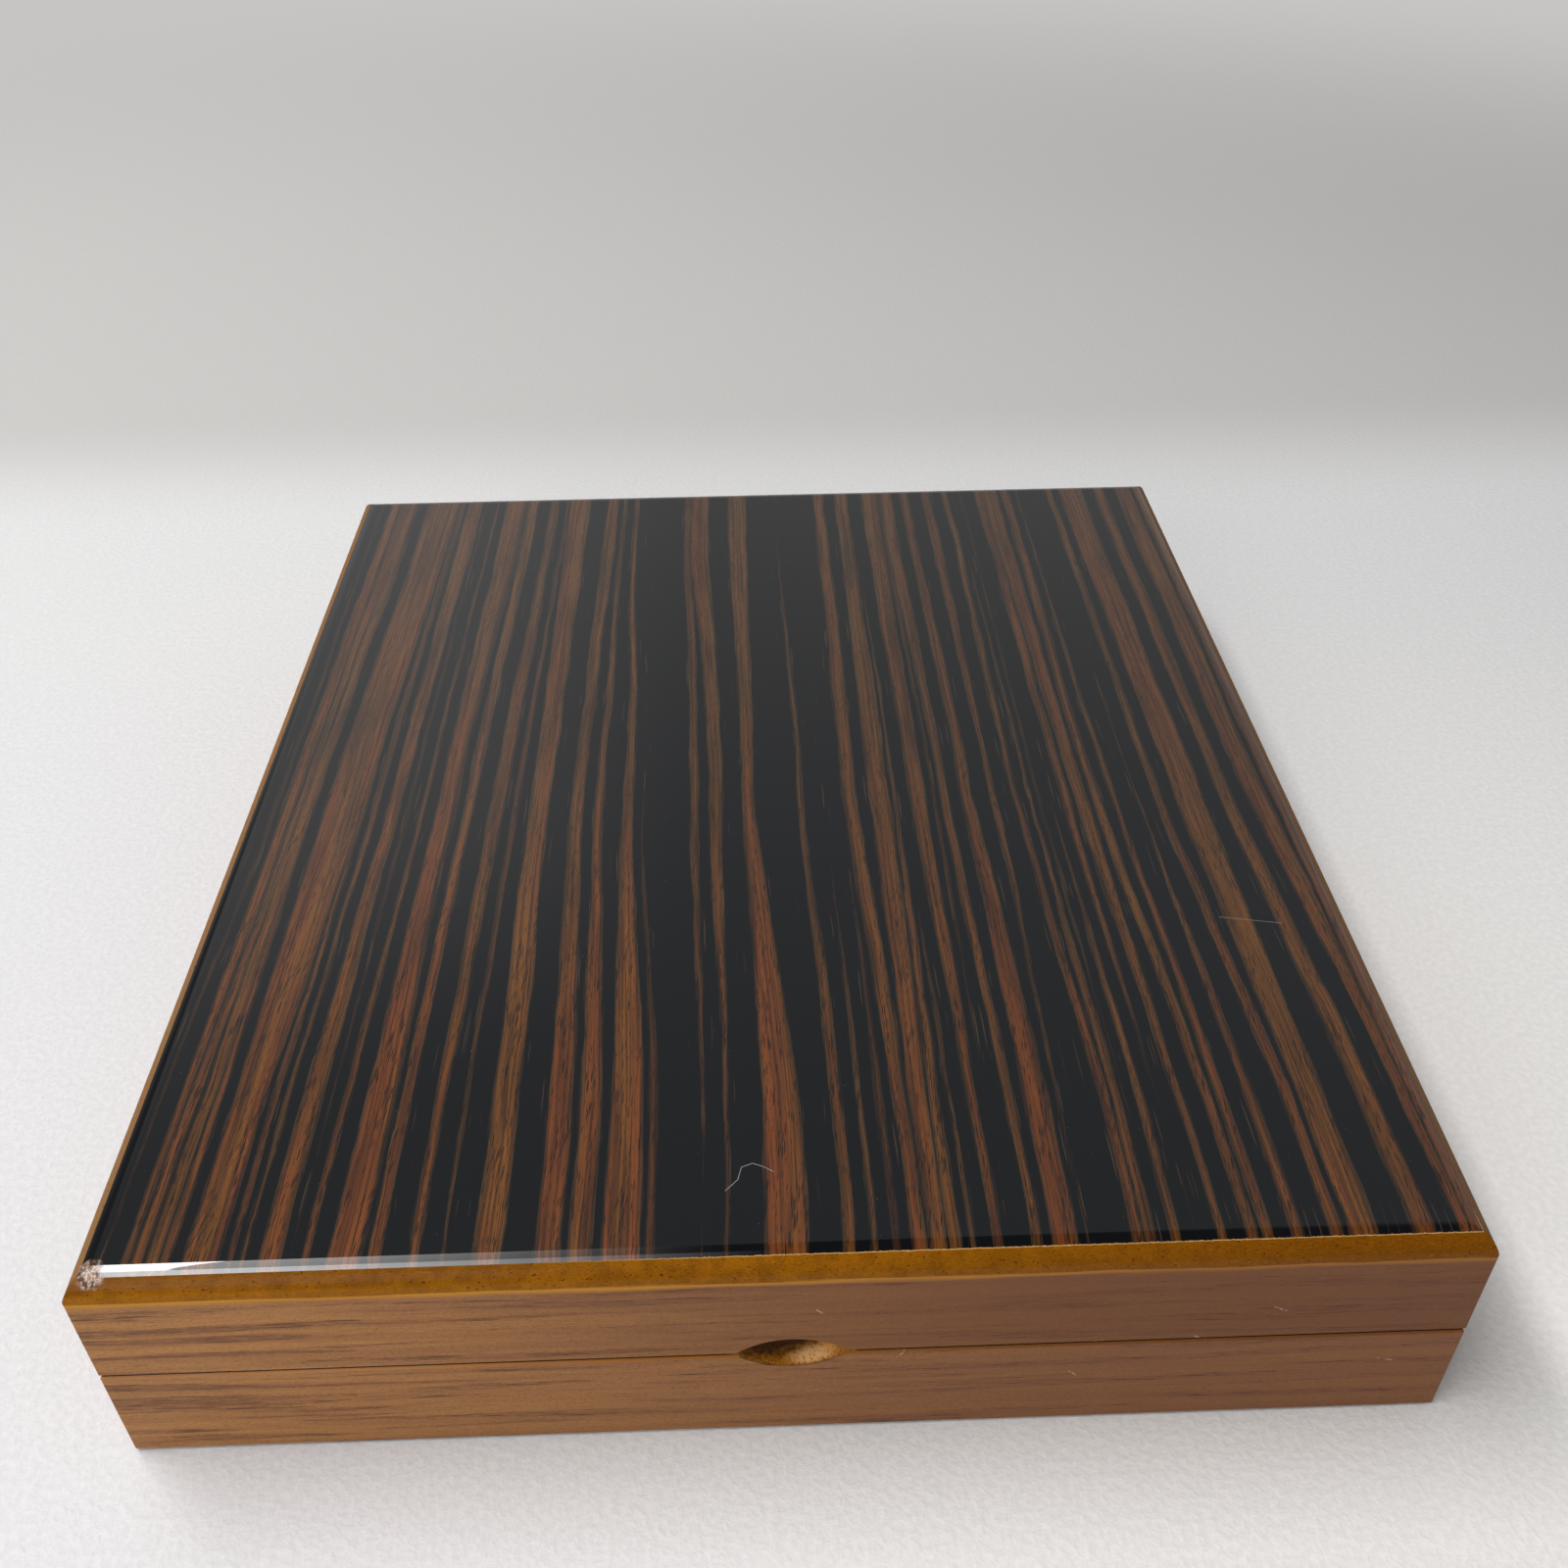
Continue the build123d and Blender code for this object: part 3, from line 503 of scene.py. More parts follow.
def stained_fibreboard():
    """The fibreboard core where it is cut: the lid's rounded edge, the rim and the thumb notch, with painted
    shade and a painted highlight in the notch and painted shade on the rim under the seam.
    """
    material, paint = new_material("stained_fibreboard")
    point = paint.point()
    ochre, fibres = fibre_colour(paint, point)
    x, y, z = paint.separate(point)
    ochre = paint.mix(torn_front(paint, point, -0.07, -0.01), ochre, shade(186, 146, 92))
    off = paint.vector("DISTANCE", point, NOTCH_CENTRE, out="Value")
    inside = paint.ramp(off, NOTCH_REACH + 1.0, NOTCH_REACH)
    scoop = paint.noise(point, (0.45, 0.6, 0.4), detail=3.0, roughness=0.7)
    # Painted shade in the thumb notch: darker farther behind the front and towards the left.
    deep = paint.math("ADD", y, HALF_DEPTH)
    slant = paint.math("MULTIPLY_ADD", x, -0.17, deep)
    notch_shade = paint.math("ADD", slant, paint.sway(point, (1.5, 0.9, 0.9), 0.7))
    bare = paint.mix(paint.ramp(notch_shade, 1.0, 3.6), shade(170, 108, 28), shade(54, 31, 11))
    # A painted highlight in the notch: a pale spot drawn out along x.
    stretched = paint.combine(x, paint.math("MULTIPLY", deep, NOTCH_STRETCH), 0.0)
    gleam = (NOTCH_GLEAM[0], NOTCH_GLEAM[1] * NOTCH_STRETCH, 0.0)
    off = paint.vector("DISTANCE", stretched, gleam, out="Value")
    bare = paint.mix(paint.ramp(off, 6.0, 1.5, top=0.7), bare, shade(240, 190, 128))
    bare = paint.mix(paint.ramp(scoop, 0.48, 0.68, top=0.6), bare, shade(80, 48, 16))
    brim = paint.math("MULTIPLY", paint.ramp(deep, 0.9, 0.3), paint.ramp(scoop, 0.46, 0.56))
    bare = paint.mix(paint.math("MULTIPLY", brim, 0.7), bare, shade(74, 44, 26))
    ochre = paint.mix(inside, ochre, bare)
    # Painted shade on the rim's bevel under the lid, outside the notch, where the seam's shadow falls.
    seam_shade = paint.math("MULTIPLY", paint.ramp(z, BEVEL_VENEER, BEVEL_VENEER + 0.08),
                       paint.ramp(z, RIM_TOP - 0.01, RIM_TOP - 0.04))
    seam_shade = paint.math("MULTIPLY", seam_shade, paint.math("SUBTRACT", 1.0, inside))
    ochre = paint.mix(seam_shade, ochre, shade(34, 20, 12))
    chip = paint.use(chipped_corner, {"Point": point}, out="Share")
    ochre = paint.mix(chip, ochre, chip.node.outputs["Colour"])
    height = paint.math("MULTIPLY_ADD", inside, paint.math("MULTIPLY", scoop, 4.0), fibres)
    surface(paint, {"Base Color": ochre, "Roughness": 0.5, "Specular IOR Level": 0.0, "Coat Weight": 0.12,
                    "Coat Roughness": 0.25, "Normal": paint.bump(height, 0.12, 0.6)})
    return material


def walnut_veneer(along):
    """Brown side veneer with fine grain along the box; on the lid its top edge is sanded through to ochre."""
    material, paint = new_material("walnut_veneer_" + along.lower())
    point = paint.point()
    x, y, z = paint.separate(point)
    flat = on_board(paint, along)
    board = paint.vector("ADD", flat, paint.combine(paint.sway(flat, (14, 60, 1), 0.5), 0.0, 0.0))
    feeds = {"Point": board, "Fine": (0.18, 9, 1), "Broad": (2.6, 80, 1)}
    fibres, bands = paint.use(grain, feeds).node.outputs
    clusters = paint.ramp(paint.noise(board, (2.2, 70, 1), detail=4.0), 0.48, 0.6)
    clusters = paint.math("MULTIPLY", clusters, paint.ramp(x, 40, -110, bottom=0.75))
    threads = paint.noise(board, (0.22, 12, 1), detail=3.0, roughness=0.6)
    lines = paint.ramp(threads, paint.between(clusters, 0.68, 0.51), paint.between(clusters, 0.74, 0.58))
    hairs = paint.use(pores, {"Point": board, "Spacing": (0.2, 6, 1),
                              "Reach": paint.math("MULTIPLY_ADD", clusters, 0.45, 0.1)})
    dashes = paint.use(pores, {"Point": board, "Spacing": (0.24, 1.8, 1), "Reach": 0.38})
    speckle = paint.ramp(paint.noise(board, (0.26, 0.7, 1), detail=3.0, roughness=0.75), 0.38, 0.66)
    walnut = paint.mix(paint.ramp(x, -127, 80), shade(183, 131, 78), shade(137, 94, 61))
    walnut = paint.mix(paint.math("MULTIPLY", speckle, 0.36), walnut, shade(106, 68, 46))
    walnut = paint.mix(paint.math("MULTIPLY", bands, 0.3), walnut, shade(120, 78, 60))
    walnut = paint.mix(paint.math("MULTIPLY", clusters, 0.3), walnut, shade(104, 66, 58))
    walnut = paint.mix(paint.math("MULTIPLY", fibres, 0.3), walnut, shade(104, 68, 44))
    walnut = paint.mix(paint.math("MULTIPLY", hairs, 0.5), walnut, shade(74, 48, 40))
    walnut = paint.mix(paint.math("MULTIPLY", lines, 0.66), walnut, shade(58, 37, 32))
    walnut = paint.mix(paint.math("MULTIPLY", dashes, 0.36), walnut, shade(76, 48, 34))
    ruddy = paint.math("MULTIPLY", paint.ramp(x, -90, 60), paint.ramp(z, RIM_TOP, RIM_TOP + 0.2))
    walnut = paint.mix(paint.math("MULTIPLY", ruddy, 0.45), walnut, shade(94, 57, 36))

    ochre, _ = fibre_colour(paint, point)
    worn = paint.math("ADD", z, paint.sway(board, (1, 22, 1), 0.35))
    thin = paint.mix(paint.ramp(x, -40, 90), shade(182, 126, 42), shade(146, 98, 44))
    feather = paint.mix(paint.ramp(worn, FEATHER_FOOT, OCHRE_FOOT), walnut, thin)
    wood = paint.mix(paint.ramp(worn, OCHRE_FOOT, OCHRE_FOOT + 0.35), feather, ochre)
    rubbed = paint.math("ADD", z, paint.sway(board, (0.5, 1.6, 1), 0.2))
    bevel = paint.math("MULTIPLY", paint.ramp(rubbed, BEVEL_FOOT - 0.1, BEVEL_FOOT + 0.1),
                       paint.ramp(z, RIM_TOP + 0.15, RIM_TOP + 0.1))
    rubbed_brown = paint.mix(paint.ramp(x, -60, 60), shade(166, 106, 40), shade(122, 74, 28))
    wood = paint.mix(paint.math("MULTIPLY", bevel, 0.8), wood, rubbed_brown)
    nicked = 0.0
    front = paint.combine(x, 0.0, z)
    for (start_x, start_z), (end_x, end_z) in NICKS:
        feeds = {"Point": front, "Start": (start_x, 0.0, start_z), "End": (end_x, 0.0, end_z), "Width": 0.22,
                 "Under": nicked}
        nicked = paint.use(thin_mark, feeds)
    broken = paint.ramp(paint.noise(point, (0.6, 0.6, 0.6)), 0.4, 0.55)
    nicked = paint.math("MULTIPLY", paint.math("MULTIPLY", nicked, broken), paint.math("LESS_THAN", y, 0.0))
    wood = paint.mix(paint.math("MULTIPLY", nicked, 0.4), wood, shade(214, 190, 168))
    chip = paint.use(chipped_corner, {"Point": point}, out="Share")
    wood = paint.mix(chip, wood, chip.node.outputs["Colour"])
    surface(paint, {"Base Color": wood, "Roughness": 0.55, "Specular IOR Level": 0.0, "Coat Weight": 0.25,
                    "Coat Roughness": 0.22, "Normal": paint.bump(dashes, -0.02, 0.4)})
    return material


def bare_cedar(along):
    """Spanish cedar lining: bare, sanded, reddish, with open pores along the grain."""
    material, paint = new_material("bare_cedar_" + along.lower())
    board = on_board(paint, along)
    feeds = {"Point": board, "Fine": (0.5, 30, 1), "Broad": (9, 160, 1)}
    fibres, bands = paint.use(grain, feeds).node.outputs
    dashes = paint.use(pores, {"Point": board, "Spacing": (0.7, 7, 1), "Reach": 0.3})
    cedar = paint.mix(bands, shade(208, 158, 118), shade(188, 130, 94))
    cedar = paint.mix(paint.math("MULTIPLY", fibres, 0.4), cedar, shade(166, 108, 76))
    cedar = paint.mix(paint.math("MULTIPLY", dashes, 0.7), cedar, shade(120, 70, 46))
    surface(paint, {"Base Color": cedar, "Roughness": 0.7, "Normal": paint.bump(dashes, -0.08, 0.7)})
    return material


# Metal, plastic, foam, felt, glass and enamel


def worn_metal(name, bright, dull, roughness, brush):
    """Polished metal with fine brushed lines, dulled in soft patches. Its two colours are linear."""
    material, paint = new_material(name)
    point = paint.point()
    patches = paint.ramp(paint.noise(point, (7, 7, 7)), 0.45, 0.7)
    lines = paint.noise(point, brush)
    colour = paint.mix(paint.math("MULTIPLY", patches, 0.5), (*bright, 1.0), (*dull, 1.0))
    rough = paint.math("MULTIPLY_ADD", patches, 0.14, roughness)
    rough = paint.math("MULTIPLY_ADD", lines, 0.08, rough)
    surface(paint, {"Base Color": colour, "Metallic": 1.0, "Roughness": rough,
                    "Normal": paint.bump(lines, 0.004, 0.15)})
    return material


def black_plastic():
    """Moulded black plastic with a fine spark-eroded texture."""
    material, paint = new_material("black_plastic")
    point = paint.point()
    texture = paint.noise(point, (0.18, 0.18, 0.18))
    dust = paint.ramp(paint.noise(point, (9, 9, 9), detail=4.0), 0.5, 0.8)
    colour = paint.mix(paint.math("MULTIPLY", dust, 0.35), shade(30, 30, 31), shade(58, 57, 55))
    surface(paint, {"Base Color": colour, "Roughness": paint.math("MULTIPLY_ADD", dust, 0.2, 0.42),
                    "Normal": paint.bump(texture, 0.03, 0.5)})
    return material


def open_foam():
    """Green open-cell foam: cells of about half a millimetre, with painted shade in their mouths."""
    material, paint = new_material("open_foam")
    point = paint.point()
    cells = paint.add("ShaderNodeTexVoronoi", {"Vector": point, "Scale": 1.9})
    damp = paint.noise(point, (14, 14, 14))
    colour = paint.mix(paint.ramp(damp, 0.35, 0.7), shade(92, 138, 102), shade(66, 108, 78))
    # Painted shade in the mouths of the cells.
    colour = paint.mix(paint.ramp(cells, 0.42, 0.12), colour, shade(26, 44, 32))
    surface(paint, {"Base Color": colour, "Roughness": 0.95, "Normal": paint.bump(cells, 0.35, 0.8)})
    return material


def green_felt():
    """Pressed felt: matted short fibres in slightly different greens."""
    material, paint = new_material("green_felt")
    point = paint.point()
    matted = paint.noise(point, (0.35, 0.35, 0.35), detail=4.0, roughness=0.7)
    patches = paint.noise(point, (12, 12, 12), detail=3.0)
    colour = paint.mix(paint.ramp(matted, 0.35, 0.7), shade(40, 70, 52), shade(70, 104, 80))
    colour = paint.mix(paint.ramp(patches, 0.45, 0.75, top=0.4), colour, shade(34, 58, 44))
    surface(paint, {"Base Color": colour, "Roughness": 0.95, "Sheen Weight": 0.5, "Sheen Roughness": 0.5,
                    "Normal": paint.bump(matted, 0.15, 0.8)})
    return material


def clear_glass():
    """The hygrometer's glass, clear with a few faint smears."""
    material, paint = new_material("clear_glass")
    smears = paint.ramp(paint.noise(paint.point(), (5, 9, 5), detail=4.0), 0.55, 0.8, top=0.06)
    surface(paint, {"Base Color": (1.0, 1.0, 1.0, 1.0), "Roughness": smears, "Transmission Weight": 1.0,
                    "IOR": 1.5})
    return material


def enamel(name, colour, mottle, roughness):
    """Stoved enamel with a slightly uneven tone and skin."""
    material, paint = new_material(name)
    point = paint.point()
    tone = paint.noise(point, (3, 3, 3), detail=4.0)
    skin = paint.noise(point, (0.3, 0.3, 0.3), detail=1.0)
    surface(paint, {"Base Color": paint.mix(paint.ramp(tone, 0.4, 0.7, top=0.5), colour, mottle),
                    "Roughness": paint.math("MULTIPLY_ADD", tone, 0.15, roughness),
                    "Normal": paint.bump(skin, 0.01, 0.3)})
    return material


# New pieces: the felt, the foam and the dial's print

# Points on the quarter circle of a pad's corner and on the half ellipse of its rim
CURVE_POINTS = 9


def rounded_ring(width, depth, radius, count):
    """Points spaced evenly round a rectangle with round corners.

    Each corner is a quarter circle about a centre that lies the radius inside both of its sides.
    """
    quarter = np.arange(4)
    side_x = np.sign(np.cos((quarter + 0.5) * np.pi / 2))[:, None]
    side_y = np.sign(np.sin((quarter + 0.5) * np.pi / 2))[:, None]
    turn = (quarter[:, None] + np.linspace(0, 1, CURVE_POINTS)) * np.pi / 2
    x = side_x * (width / 2 - radius) + radius * np.cos(turn)
    y = side_y * (depth / 2 - radius) + radius * np.sin(turn)
    line = np.stack((x.ravel(), y.ravel()), axis=1)
    line = np.vstack((line, line[:1]))
    run = np.concatenate(([0.0], np.cumsum(np.linalg.norm(np.diff(line, axis=0), axis=1))))
    place = np.linspace(0, run[-1], count, endpoint=False)
    return np.stack([np.interp(place, run, line[:, axis]) for axis in (0, 1)], axis=1)


def new_object(name, mesh, material):
    """An object at the origin with this mesh."""
    mesh.materials.append(material)
    piece = bpy.data.objects.new(name, mesh)
    bpy.context.scene.collection.objects.link(piece)
    return piece


def new_piece(name, points, faces, material):
    """An object at the origin, from points in millimetres."""
    mesh = bpy.data.meshes.new(name)
    mesh.from_pydata((np.asarray(points) * MM).tolist(), [], faces)
    return new_object(name, mesh, material)


def soft_pad(name, node, corner, edge, inward, uneven, count, material):
    """A closed pad in the place of a CAD node, with round corners, a rounded rim and an uneven skin.

    Its rings go out over the underside, as far inside its outline as inward says, round the rim by a half
    ellipse that is edge deep, and in again over the top. Seeded noise draws each point inwards by up to
    uneven, so the pad stays inside the node.
    """
    low, high = (np.array(place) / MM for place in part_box(node))
    turn = np.linspace(-np.pi / 2, np.pi / 2, CURVE_POINTS)
    inset = np.concatenate((inward, edge * (1 - np.cos(turn)), inward[::-1]))
    height = np.concatenate((np.full(len(inward), -1.0), np.sin(turn), np.full(len(inward), 1.0)))
    width, depth, thickness = high - low
    rings = np.zeros((len(inset), count, 3))
    for ring, reach in zip(rings, inset):
        ring[:, :2] = rounded_ring(width - 2 * reach, depth - 2 * reach, max(corner - reach, 0.2), count)
    chance = np.random.default_rng(7).random((len(inset), count))
    dent = uneven * (chance + np.roll(chance, 1, axis=1)) / 2
    rings[:, :, :2] *= 1 - dent[:, :, None] / (width / 2)
    rings[:, :, 2] = height[:, None] * (thickness / 2 - dent)
    rings += (low + high) / 2

    rows = len(inset)
    points = np.vstack((rings.reshape(-1, 3), rings[0].mean(axis=0), rings[-1].mean(axis=0)))
    step = np.arange(count)
    after = (step + 1) % count
    row = np.arange(rows - 1)[:, None] * count
    sides = np.stack((row + step, row + after, row + count + after, row + count + step), axis=-1)
    under = np.stack((np.full(count, rows * count), after, step), axis=-1)
    last = (rows - 1) * count
    over = np.stack((np.full(count, rows * count + 1), last + step, last + after), axis=-1)
    piece = new_piece(name, points, sides.reshape(-1, 4).tolist() + under.tolist() + over.tolist(), material)
    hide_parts(node)
    return piece


def on_scale(reading, radius):
    """The place of a reading on the dial, from its middle: clockwise when looking up into the lid."""
    turn = np.radians(SCALE_START + SCALE_STEP * np.asarray(reading, dtype=float))
    return np.stack((radius * np.sin(turn), -radius * np.cos(turn)), axis=-1)


def printed_bars(start, end, half_width):
    """Flat bars of print, one for each pair of ends: four corners about the line, in two layers."""
    run = end - start
    side = np.stack((-run[:, 1], run[:, 0]), axis=-1)
    side = side / np.linalg.norm(side, axis=1)[:, None] * np.broadcast_to(half_width, (len(run), 1))
    corners = np.stack((start + side, start - side, end - side, end + side), axis=1)
    lower = np.concatenate((corners, np.full((*corners.shape[:2], 1), -PRINT_THICKNESS)), axis=2)
    upper = np.concatenate((corners, np.zeros((*corners.shape[:2], 1))), axis=2)
    faces = np.array(((0, 3, 2, 1), (4, 5, 6, 7), (0, 1, 5, 4), (1, 2, 6, 5), (2, 3, 7, 6), (3, 0, 4, 7)))
    faces = faces + 8 * np.arange(len(run))[:, None, None]
    return np.concatenate((lower, upper), axis=1).reshape(-1, 3), faces.reshape(-1, 4).tolist()


def dial_scale(middle, material):
    """The dial's marks, every two parts in a hundred and longer at each ten, and the arc that joins them."""
    reading = np.arange(0, 102, 2)
    tens = (reading % 10 == 0)[:, None]
    inner = on_scale(reading, SCALE_RADIUS - np.where(tens[:, 0], LONG_MARK, SHORT_MARK))
    outer = on_scale(reading, SCALE_RADIUS)
    start = np.concatenate((inner, outer[:-1]))
    end = np.concatenate((outer, outer[1:]))
    half_width = np.concatenate((np.where(tens, 0.16, 0.07), np.full((len(outer) - 1, 1), 0.06)))
    points, faces = printed_bars(start, end, half_width)
    return new_piece("dial_scale", points + middle, faces, material)


def dial_numbers(middle, material):
    """The numbers 0 to 100 at every second ten, upright when looking up into the lid."""
    joined = bmesh.new()
    for reading in range(0, 101, 20):
        words = bpy.data.curves.new("number", "FONT")
        words.body = str(reading)
        words.size = NUMBER_SIZE * MM
        words.align_x = "CENTER"
        words.align_y = "CENTER"
        words.extrude = PRINT_THICKNESS / 2 * MM
        writing = bpy.data.objects.new("number", words)
        mesh = bpy.data.meshes.new_from_object(writing)
        place = Vector((*on_scale(reading, NUMBER_RADIUS), -PRINT_THICKNESS / 2)) + Vector(middle)
        mesh.transform(Matrix.Translation(place * MM) @ Matrix.Rotation(math.pi, 4, "X"))
        joined.from_mesh(mesh)
        bpy.data.objects.remove(writing)
        bpy.data.curves.remove(words)
        bpy.data.meshes.remove(mesh)
    bmesh.ops.remove_doubles(joined, verts=joined.verts, dist=1e-7)
    bmesh.ops.recalc_face_normals(joined, faces=joined.faces)
    mesh = bpy.data.meshes.new("dial_numbers")
    joined.to_mesh(mesh)
    joined.free()
    return new_object("dial_numbers", mesh, material)


# The stage

# The colour that the floor ends in and that lies beyond it, and how far from the middle the floor changes
BACKGROUND = shade(198, 197, 195)
HAZE = (600.0, 1300.0)


def seen_straight(paint):
    """One for rays from the camera, and for those that metal and glass send on."""
    seen = paint.add("ShaderNodeLightPath", {}, out="Is Camera Ray")
    seen = paint.math("MAXIMUM", seen, seen.node.outputs["Is Glossy Ray"])
    return paint.math("MAXIMUM", seen, paint.add("ShaderNodeLightPath", {}, out="Is Transmission Ray"))


def pale_floor():
    """A pale floor with the faint unevenness of cloth, greyer behind the box, that ends in the background."""
    material, paint = new_material("pale_floor")
    point = paint.point()
    x, y, _ = paint.separate(point)
    fuzz = paint.noise(point, (1.6, 1.6, 1.6), detail=3.0)
    colour = paint.mix(paint.ramp(x, -130, 120), shade(217, 216, 217), shade(229, 226, 223))
    colour = paint.mix(paint.ramp(y, -40, 170), colour, shade(219, 218, 217))
    colour = paint.mix(paint.ramp(fuzz, 0.35, 0.7, bottom=0.12, top=0.0), colour, shade(160, 160, 160))
    colour = paint.mix(paint.ramp(y, 225, 330), colour, shade(192, 190, 187))
    feeds = {"Base Color": colour, "Roughness": 0.95, "Normal": paint.bump(fuzz, 0.6, 0.5)}
    near = paint.add("ShaderNodeBsdfPrincipled", feeds)
    far = paint.add("ShaderNodeEmission", {"Color": BACKGROUND, "Strength": 1.0})
    off = paint.vector("LENGTH", paint.combine(x, y, 0.0), out="Value")
    share = paint.math("MULTIPLY", paint.ramp(off, *HAZE), seen_straight(paint))
    both = paint.add("ShaderNodeMixShader", {0: share, 1: near, 2: far})
    paint.add("ShaderNodeOutputMaterial", {"Surface": both})
    bpy.ops.mesh.primitive_plane_add(size=8.0)
    floor = bpy.context.object
    floor.name = "floor"
    floor.data.materials.append(material)


def soft_lamp(name, centre, size, aim, watts):
    """A rectangular lamp that faces a point. Its place and size are in metres."""
    lamp = bpy.data.lights.new(name, "AREA")
    lamp.shape = "RECTANGLE"
    lamp.size, lamp.size_y = size
    lamp.energy = watts
    holder = bpy.data.objects.new(name, lamp)
    holder.location = centre
    holder.rotation_euler = (Vector(aim) - Vector(centre)).to_track_quat("-Z", "Y").to_euler()
    bpy.context.scene.collection.objects.link(holder)
    return lamp


def ceiling_lamp(name, left, right, front, back, watts, bright, spill):
    """A ceiling lamp, at full strength over a share of its width and then fading from spill to none."""
    middle = ((left + right) / 2, (front + back) / 2)
    lamp = soft_lamp(name, (*middle, CEILING), (right - left, back - front), (*middle, 0.0), watts)
    lamp.use_nodes = True
    lamp.node_tree.nodes.clear()
    paint = Paint(lamp.node_tree)
    share = paint.separate(paint.add("ShaderNodeNewGeometry", {}, out="Parametric"))[0]
    fade = paint.ramp(share, bright, 1.0, bottom=spill, top=0.0)
    strength = paint.between(paint.ramp(share, bright, bright + 0.01), 1.0, fade)
    glow = paint.add("ShaderNodeEmission", {"Strength": strength})
    paint.add("ShaderNodeOutputLight", {"Surface": glow})


def pale_surroundings():
    """The world: pale walls, brighter on the left, dim at the far left, under a dark ceiling."""
    world = bpy.data.worlds.new("pale_surroundings")
    world.use_nodes = True
    world.node_tree.nodes.clear()
    paint = Paint(world.node_tree)
    side, _, up = paint.separate(paint.add("ShaderNodeTexCoord", {}, out="Generated"))
    colour = paint.mix(paint.ramp(up, 0.4, 0.84), (0.43, 0.43, 0.43, 1.0), (0.27, 0.28, 0.30, 1.0))
    window = paint.math("MULTIPLY", paint.ramp(side, -0.02, -0.2), paint.ramp(up, 0.74, 0.6))
    colour = paint.mix(paint.math("MULTIPLY", window, 0.78), colour, (0.68, 0.68, 0.69, 1.0))
    colour = paint.mix(paint.ramp(up, 0.83, 0.92), colour, (0.06, 0.06, 0.065, 1.0))
    colour = paint.mix(paint.ramp(side, -0.42, -0.6), colour, (0.12, 0.12, 0.13, 1.0))
    low = paint.math("MULTIPLY", paint.ramp(up, 0.38, 0.15), seen_straight(paint))
    colour = paint.mix(low, colour, BACKGROUND)
    light = paint.add("ShaderNodeBackground", {"Color": colour, "Strength": 1.0})
    paint.add("ShaderNodeOutputWorld", {"Surface": light})
    bpy.context.scene.world = world


def photo_camera():
    """The photograph's camera: close to the box, in front of it and above, looking down at 38 degrees."""
    data = bpy.data.cameras.new("photo_camera")
    data.lens = CAMERA_LENS
    data.sensor_width = CAMERA_FILM
    data.clip_start = 0.01
    camera = bpy.data.objects.new("photo_camera", data)
    camera.location = CAMERA_PLACE
    camera.rotation_euler = Euler([math.radians(turn) for turn in CAMERA_TURN])
    bpy.context.scene.collection.objects.link(camera)
    bpy.context.scene.camera = camera


def dress(material, *names):
    """Gives CAD nodes their material."""
    for name in names:
        for place in nodes[name].material_slots:
            place.material = material


# The scene, put together

pale_floor()
pale_surroundings()
photo_camera()
ceiling_lamp("key_lamp", left=-1.19, right=-0.04, front=-0.17, back=0.93, watts=76.0, bright=0.32, spill=0.24)
ceiling_lamp("front_lamp", left=-1.19, right=0.05, front=-0.74, back=-0.17, watts=24.0, bright=0.2, spill=1.0)
soft_lamp("fill_lamp", centre=(-0.35, -0.65, 0.45), size=(0.4, 0.4), aim=(0.0, -0.05, 0.03), watts=2.0)
bpy.context.scene.view_settings.view_transform = "Standard"

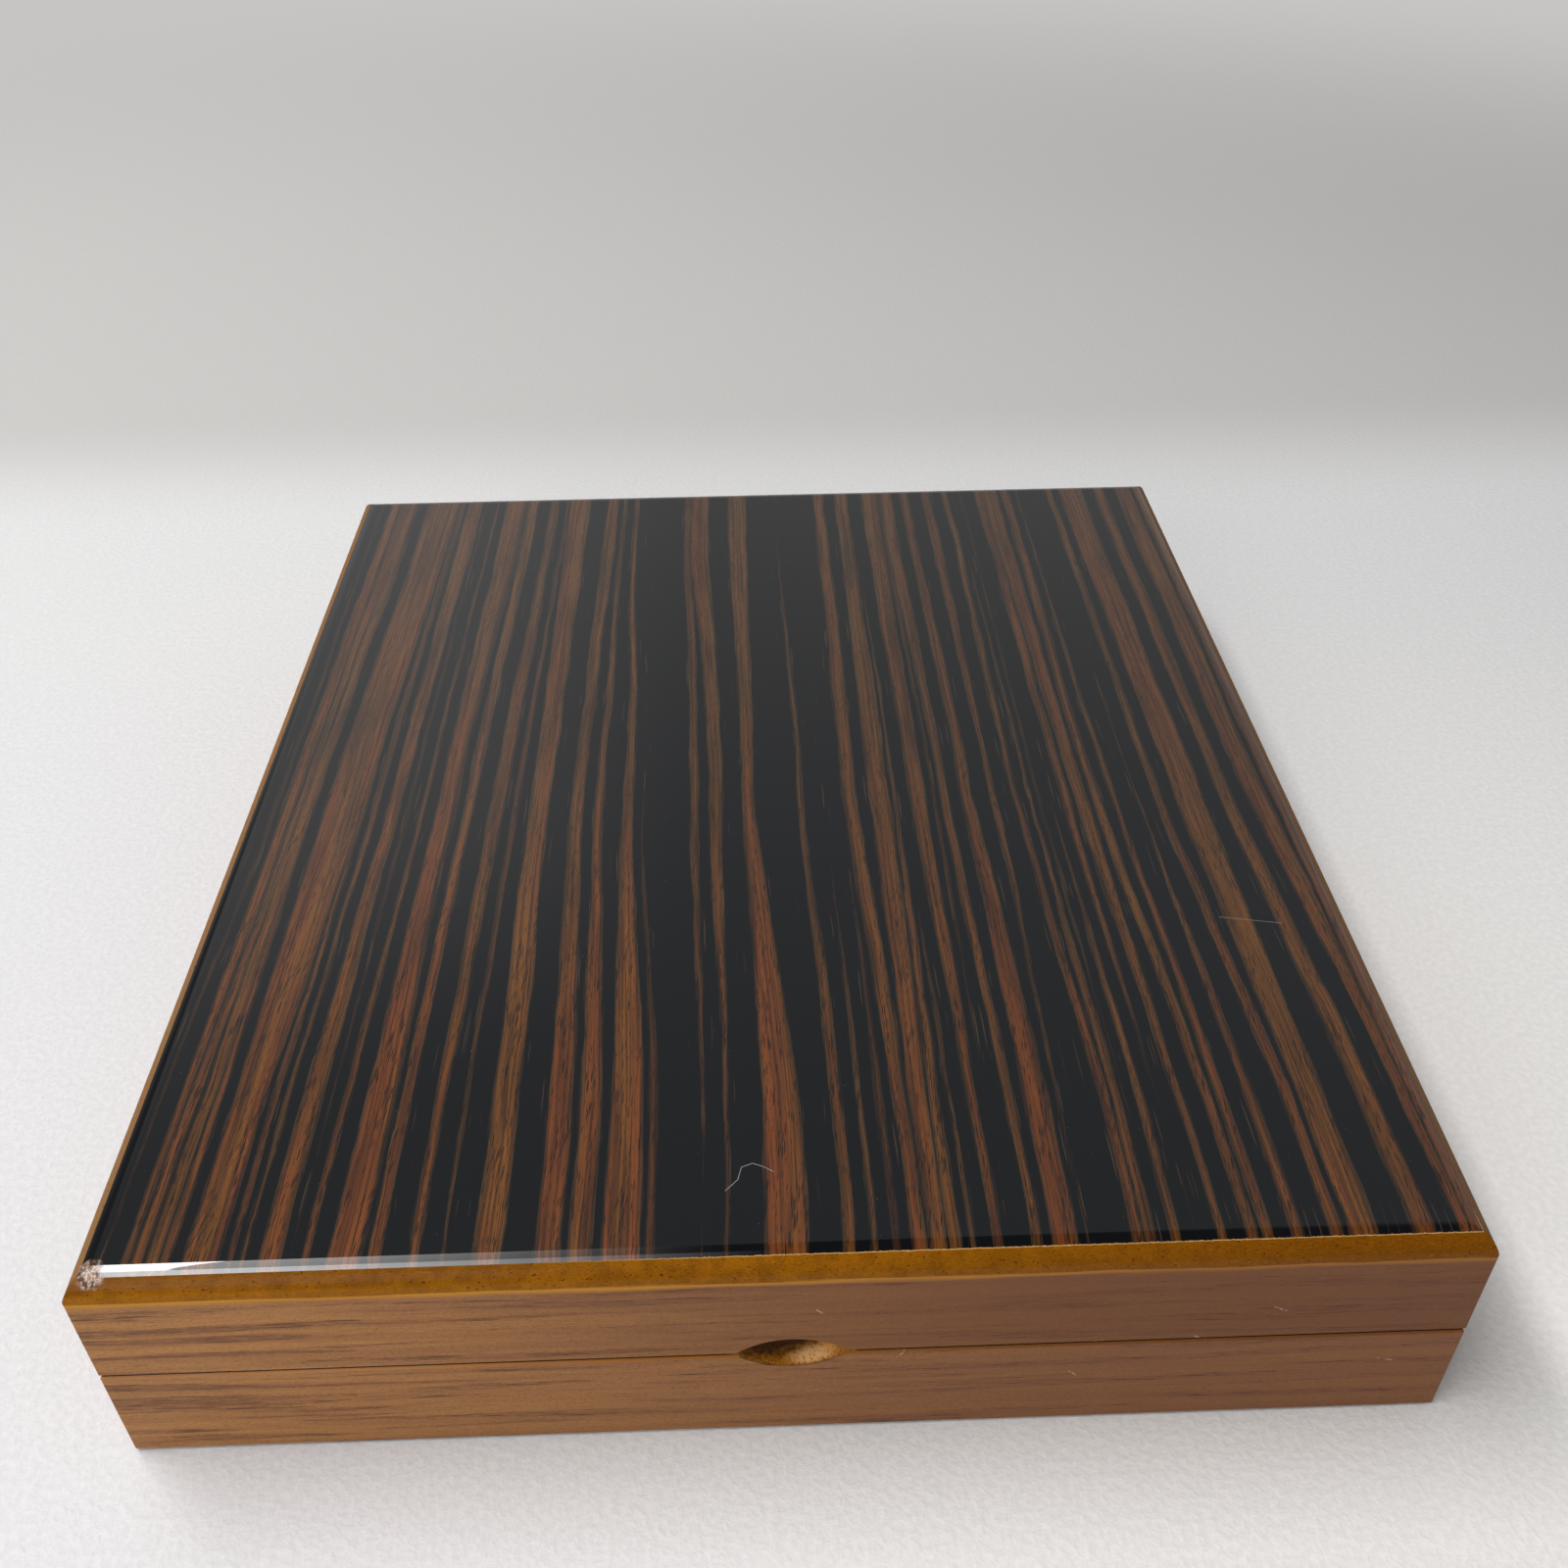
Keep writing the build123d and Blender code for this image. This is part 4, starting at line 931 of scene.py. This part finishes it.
fibreboard = stained_fibreboard()
walnut = {along: walnut_veneer(along) for along in "XY"}
lining = {along: bare_cedar(along) for along in "XY"}
hinge_brass = worn_metal("hinge_brass", (0.87, 0.66, 0.31), (0.78, 0.57, 0.25), 0.38, (9, 0.2, 0.2))
screw_brass = worn_metal("screw_brass", (0.66, 0.47, 0.21), (0.52, 0.37, 0.16), 0.32, (0.3, 0.3, 3))
bezel_brass = worn_metal("bezel_brass", (0.86, 0.64, 0.30), (0.78, 0.57, 0.26), 0.2, (1.2, 1.2, 0.12))
bright_steel = worn_metal("bright_steel", (0.66, 0.66, 0.67), (0.45, 0.45, 0.46), 0.22, (0.3, 0.3, 3))
sensing_coil = worn_metal("sensing_coil", (0.56, 0.42, 0.25), (0.38, 0.29, 0.18), 0.42, (2, 2, 0.2))
plastic = black_plastic()

dress(lacquered_ebony(), "lid_top_veneer")
dress(fibreboard, "lid_top_panel", "base_bottom_panel")
for side, along in (("front", "X"), ("back", "X"), ("left", "Y"), ("right", "Y")):
    dress(walnut[along], f"base_{side}_veneer", f"lid_{side}_veneer")
    dress(fibreboard, f"base_{side}_wall", f"lid_{side}_wall")
    dress(lining[along], f"base_{side}_liner", f"lid_{side}_liner")
dress(lining["Y"], "base_floor_liner", "lid_ceiling_liner", "divider")
for hand in ("left", "right"):
    dress(hinge_brass, f"{hand}_hinge_pin", f"{hand}_hinge_base_leaf", f"{hand}_hinge_lid_leaf")
    dress(screw_brass, f"{hand}_hinge_base_screws", f"{hand}_hinge_lid_screws")
dress(plastic, "humidifier_case", "humidifier_cover")
dress(bright_steel, "humidifier_magnets", "keeper_discs", "hygrometer_arbor")
dress(bezel_brass, "hygrometer_bezel", "hygrometer_case")
dress(sensing_coil, "hygrometer_coil")
dress(clear_glass(), "hygrometer_lens")
dress(enamel("dial_plate", shade(238, 232, 214), shade(226, 216, 192), 0.35), "hygrometer_dial")
black_enamel = enamel("needle_black", shade(22, 22, 23), shade(34, 32, 30), 0.25)
dress(black_enamel, "hygrometer_needle")

felt_rings = np.array((60.0, 12.0, 2.0))
felt = soft_pad("felt_base", "base_felt", corner=3.0, edge=0.3, inward=felt_rings, uneven=0.12, count=720,
                material=green_felt())
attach(felt, "base")

foam_rings = np.array((23.0, 19.0, 14.0, 9.0, 5.0, 2.0))
foam = soft_pad("foam_block", "humidifier_foam", corner=2.2, edge=0.7, inward=foam_rings, uneven=0.35,
                count=480, material=open_foam())
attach(foam, "humidifier")

dial_low, dial_high = (np.array(corner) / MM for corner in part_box("hygrometer_dial"))
dial_face = np.array(((dial_low[0] + dial_high[0]) / 2, (dial_low[1] + dial_high[1]) / 2, dial_low[2]))
for print_piece in (dial_scale(dial_face, black_enamel), dial_numbers(dial_face, black_enamel)):
    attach(print_piece, "lid")
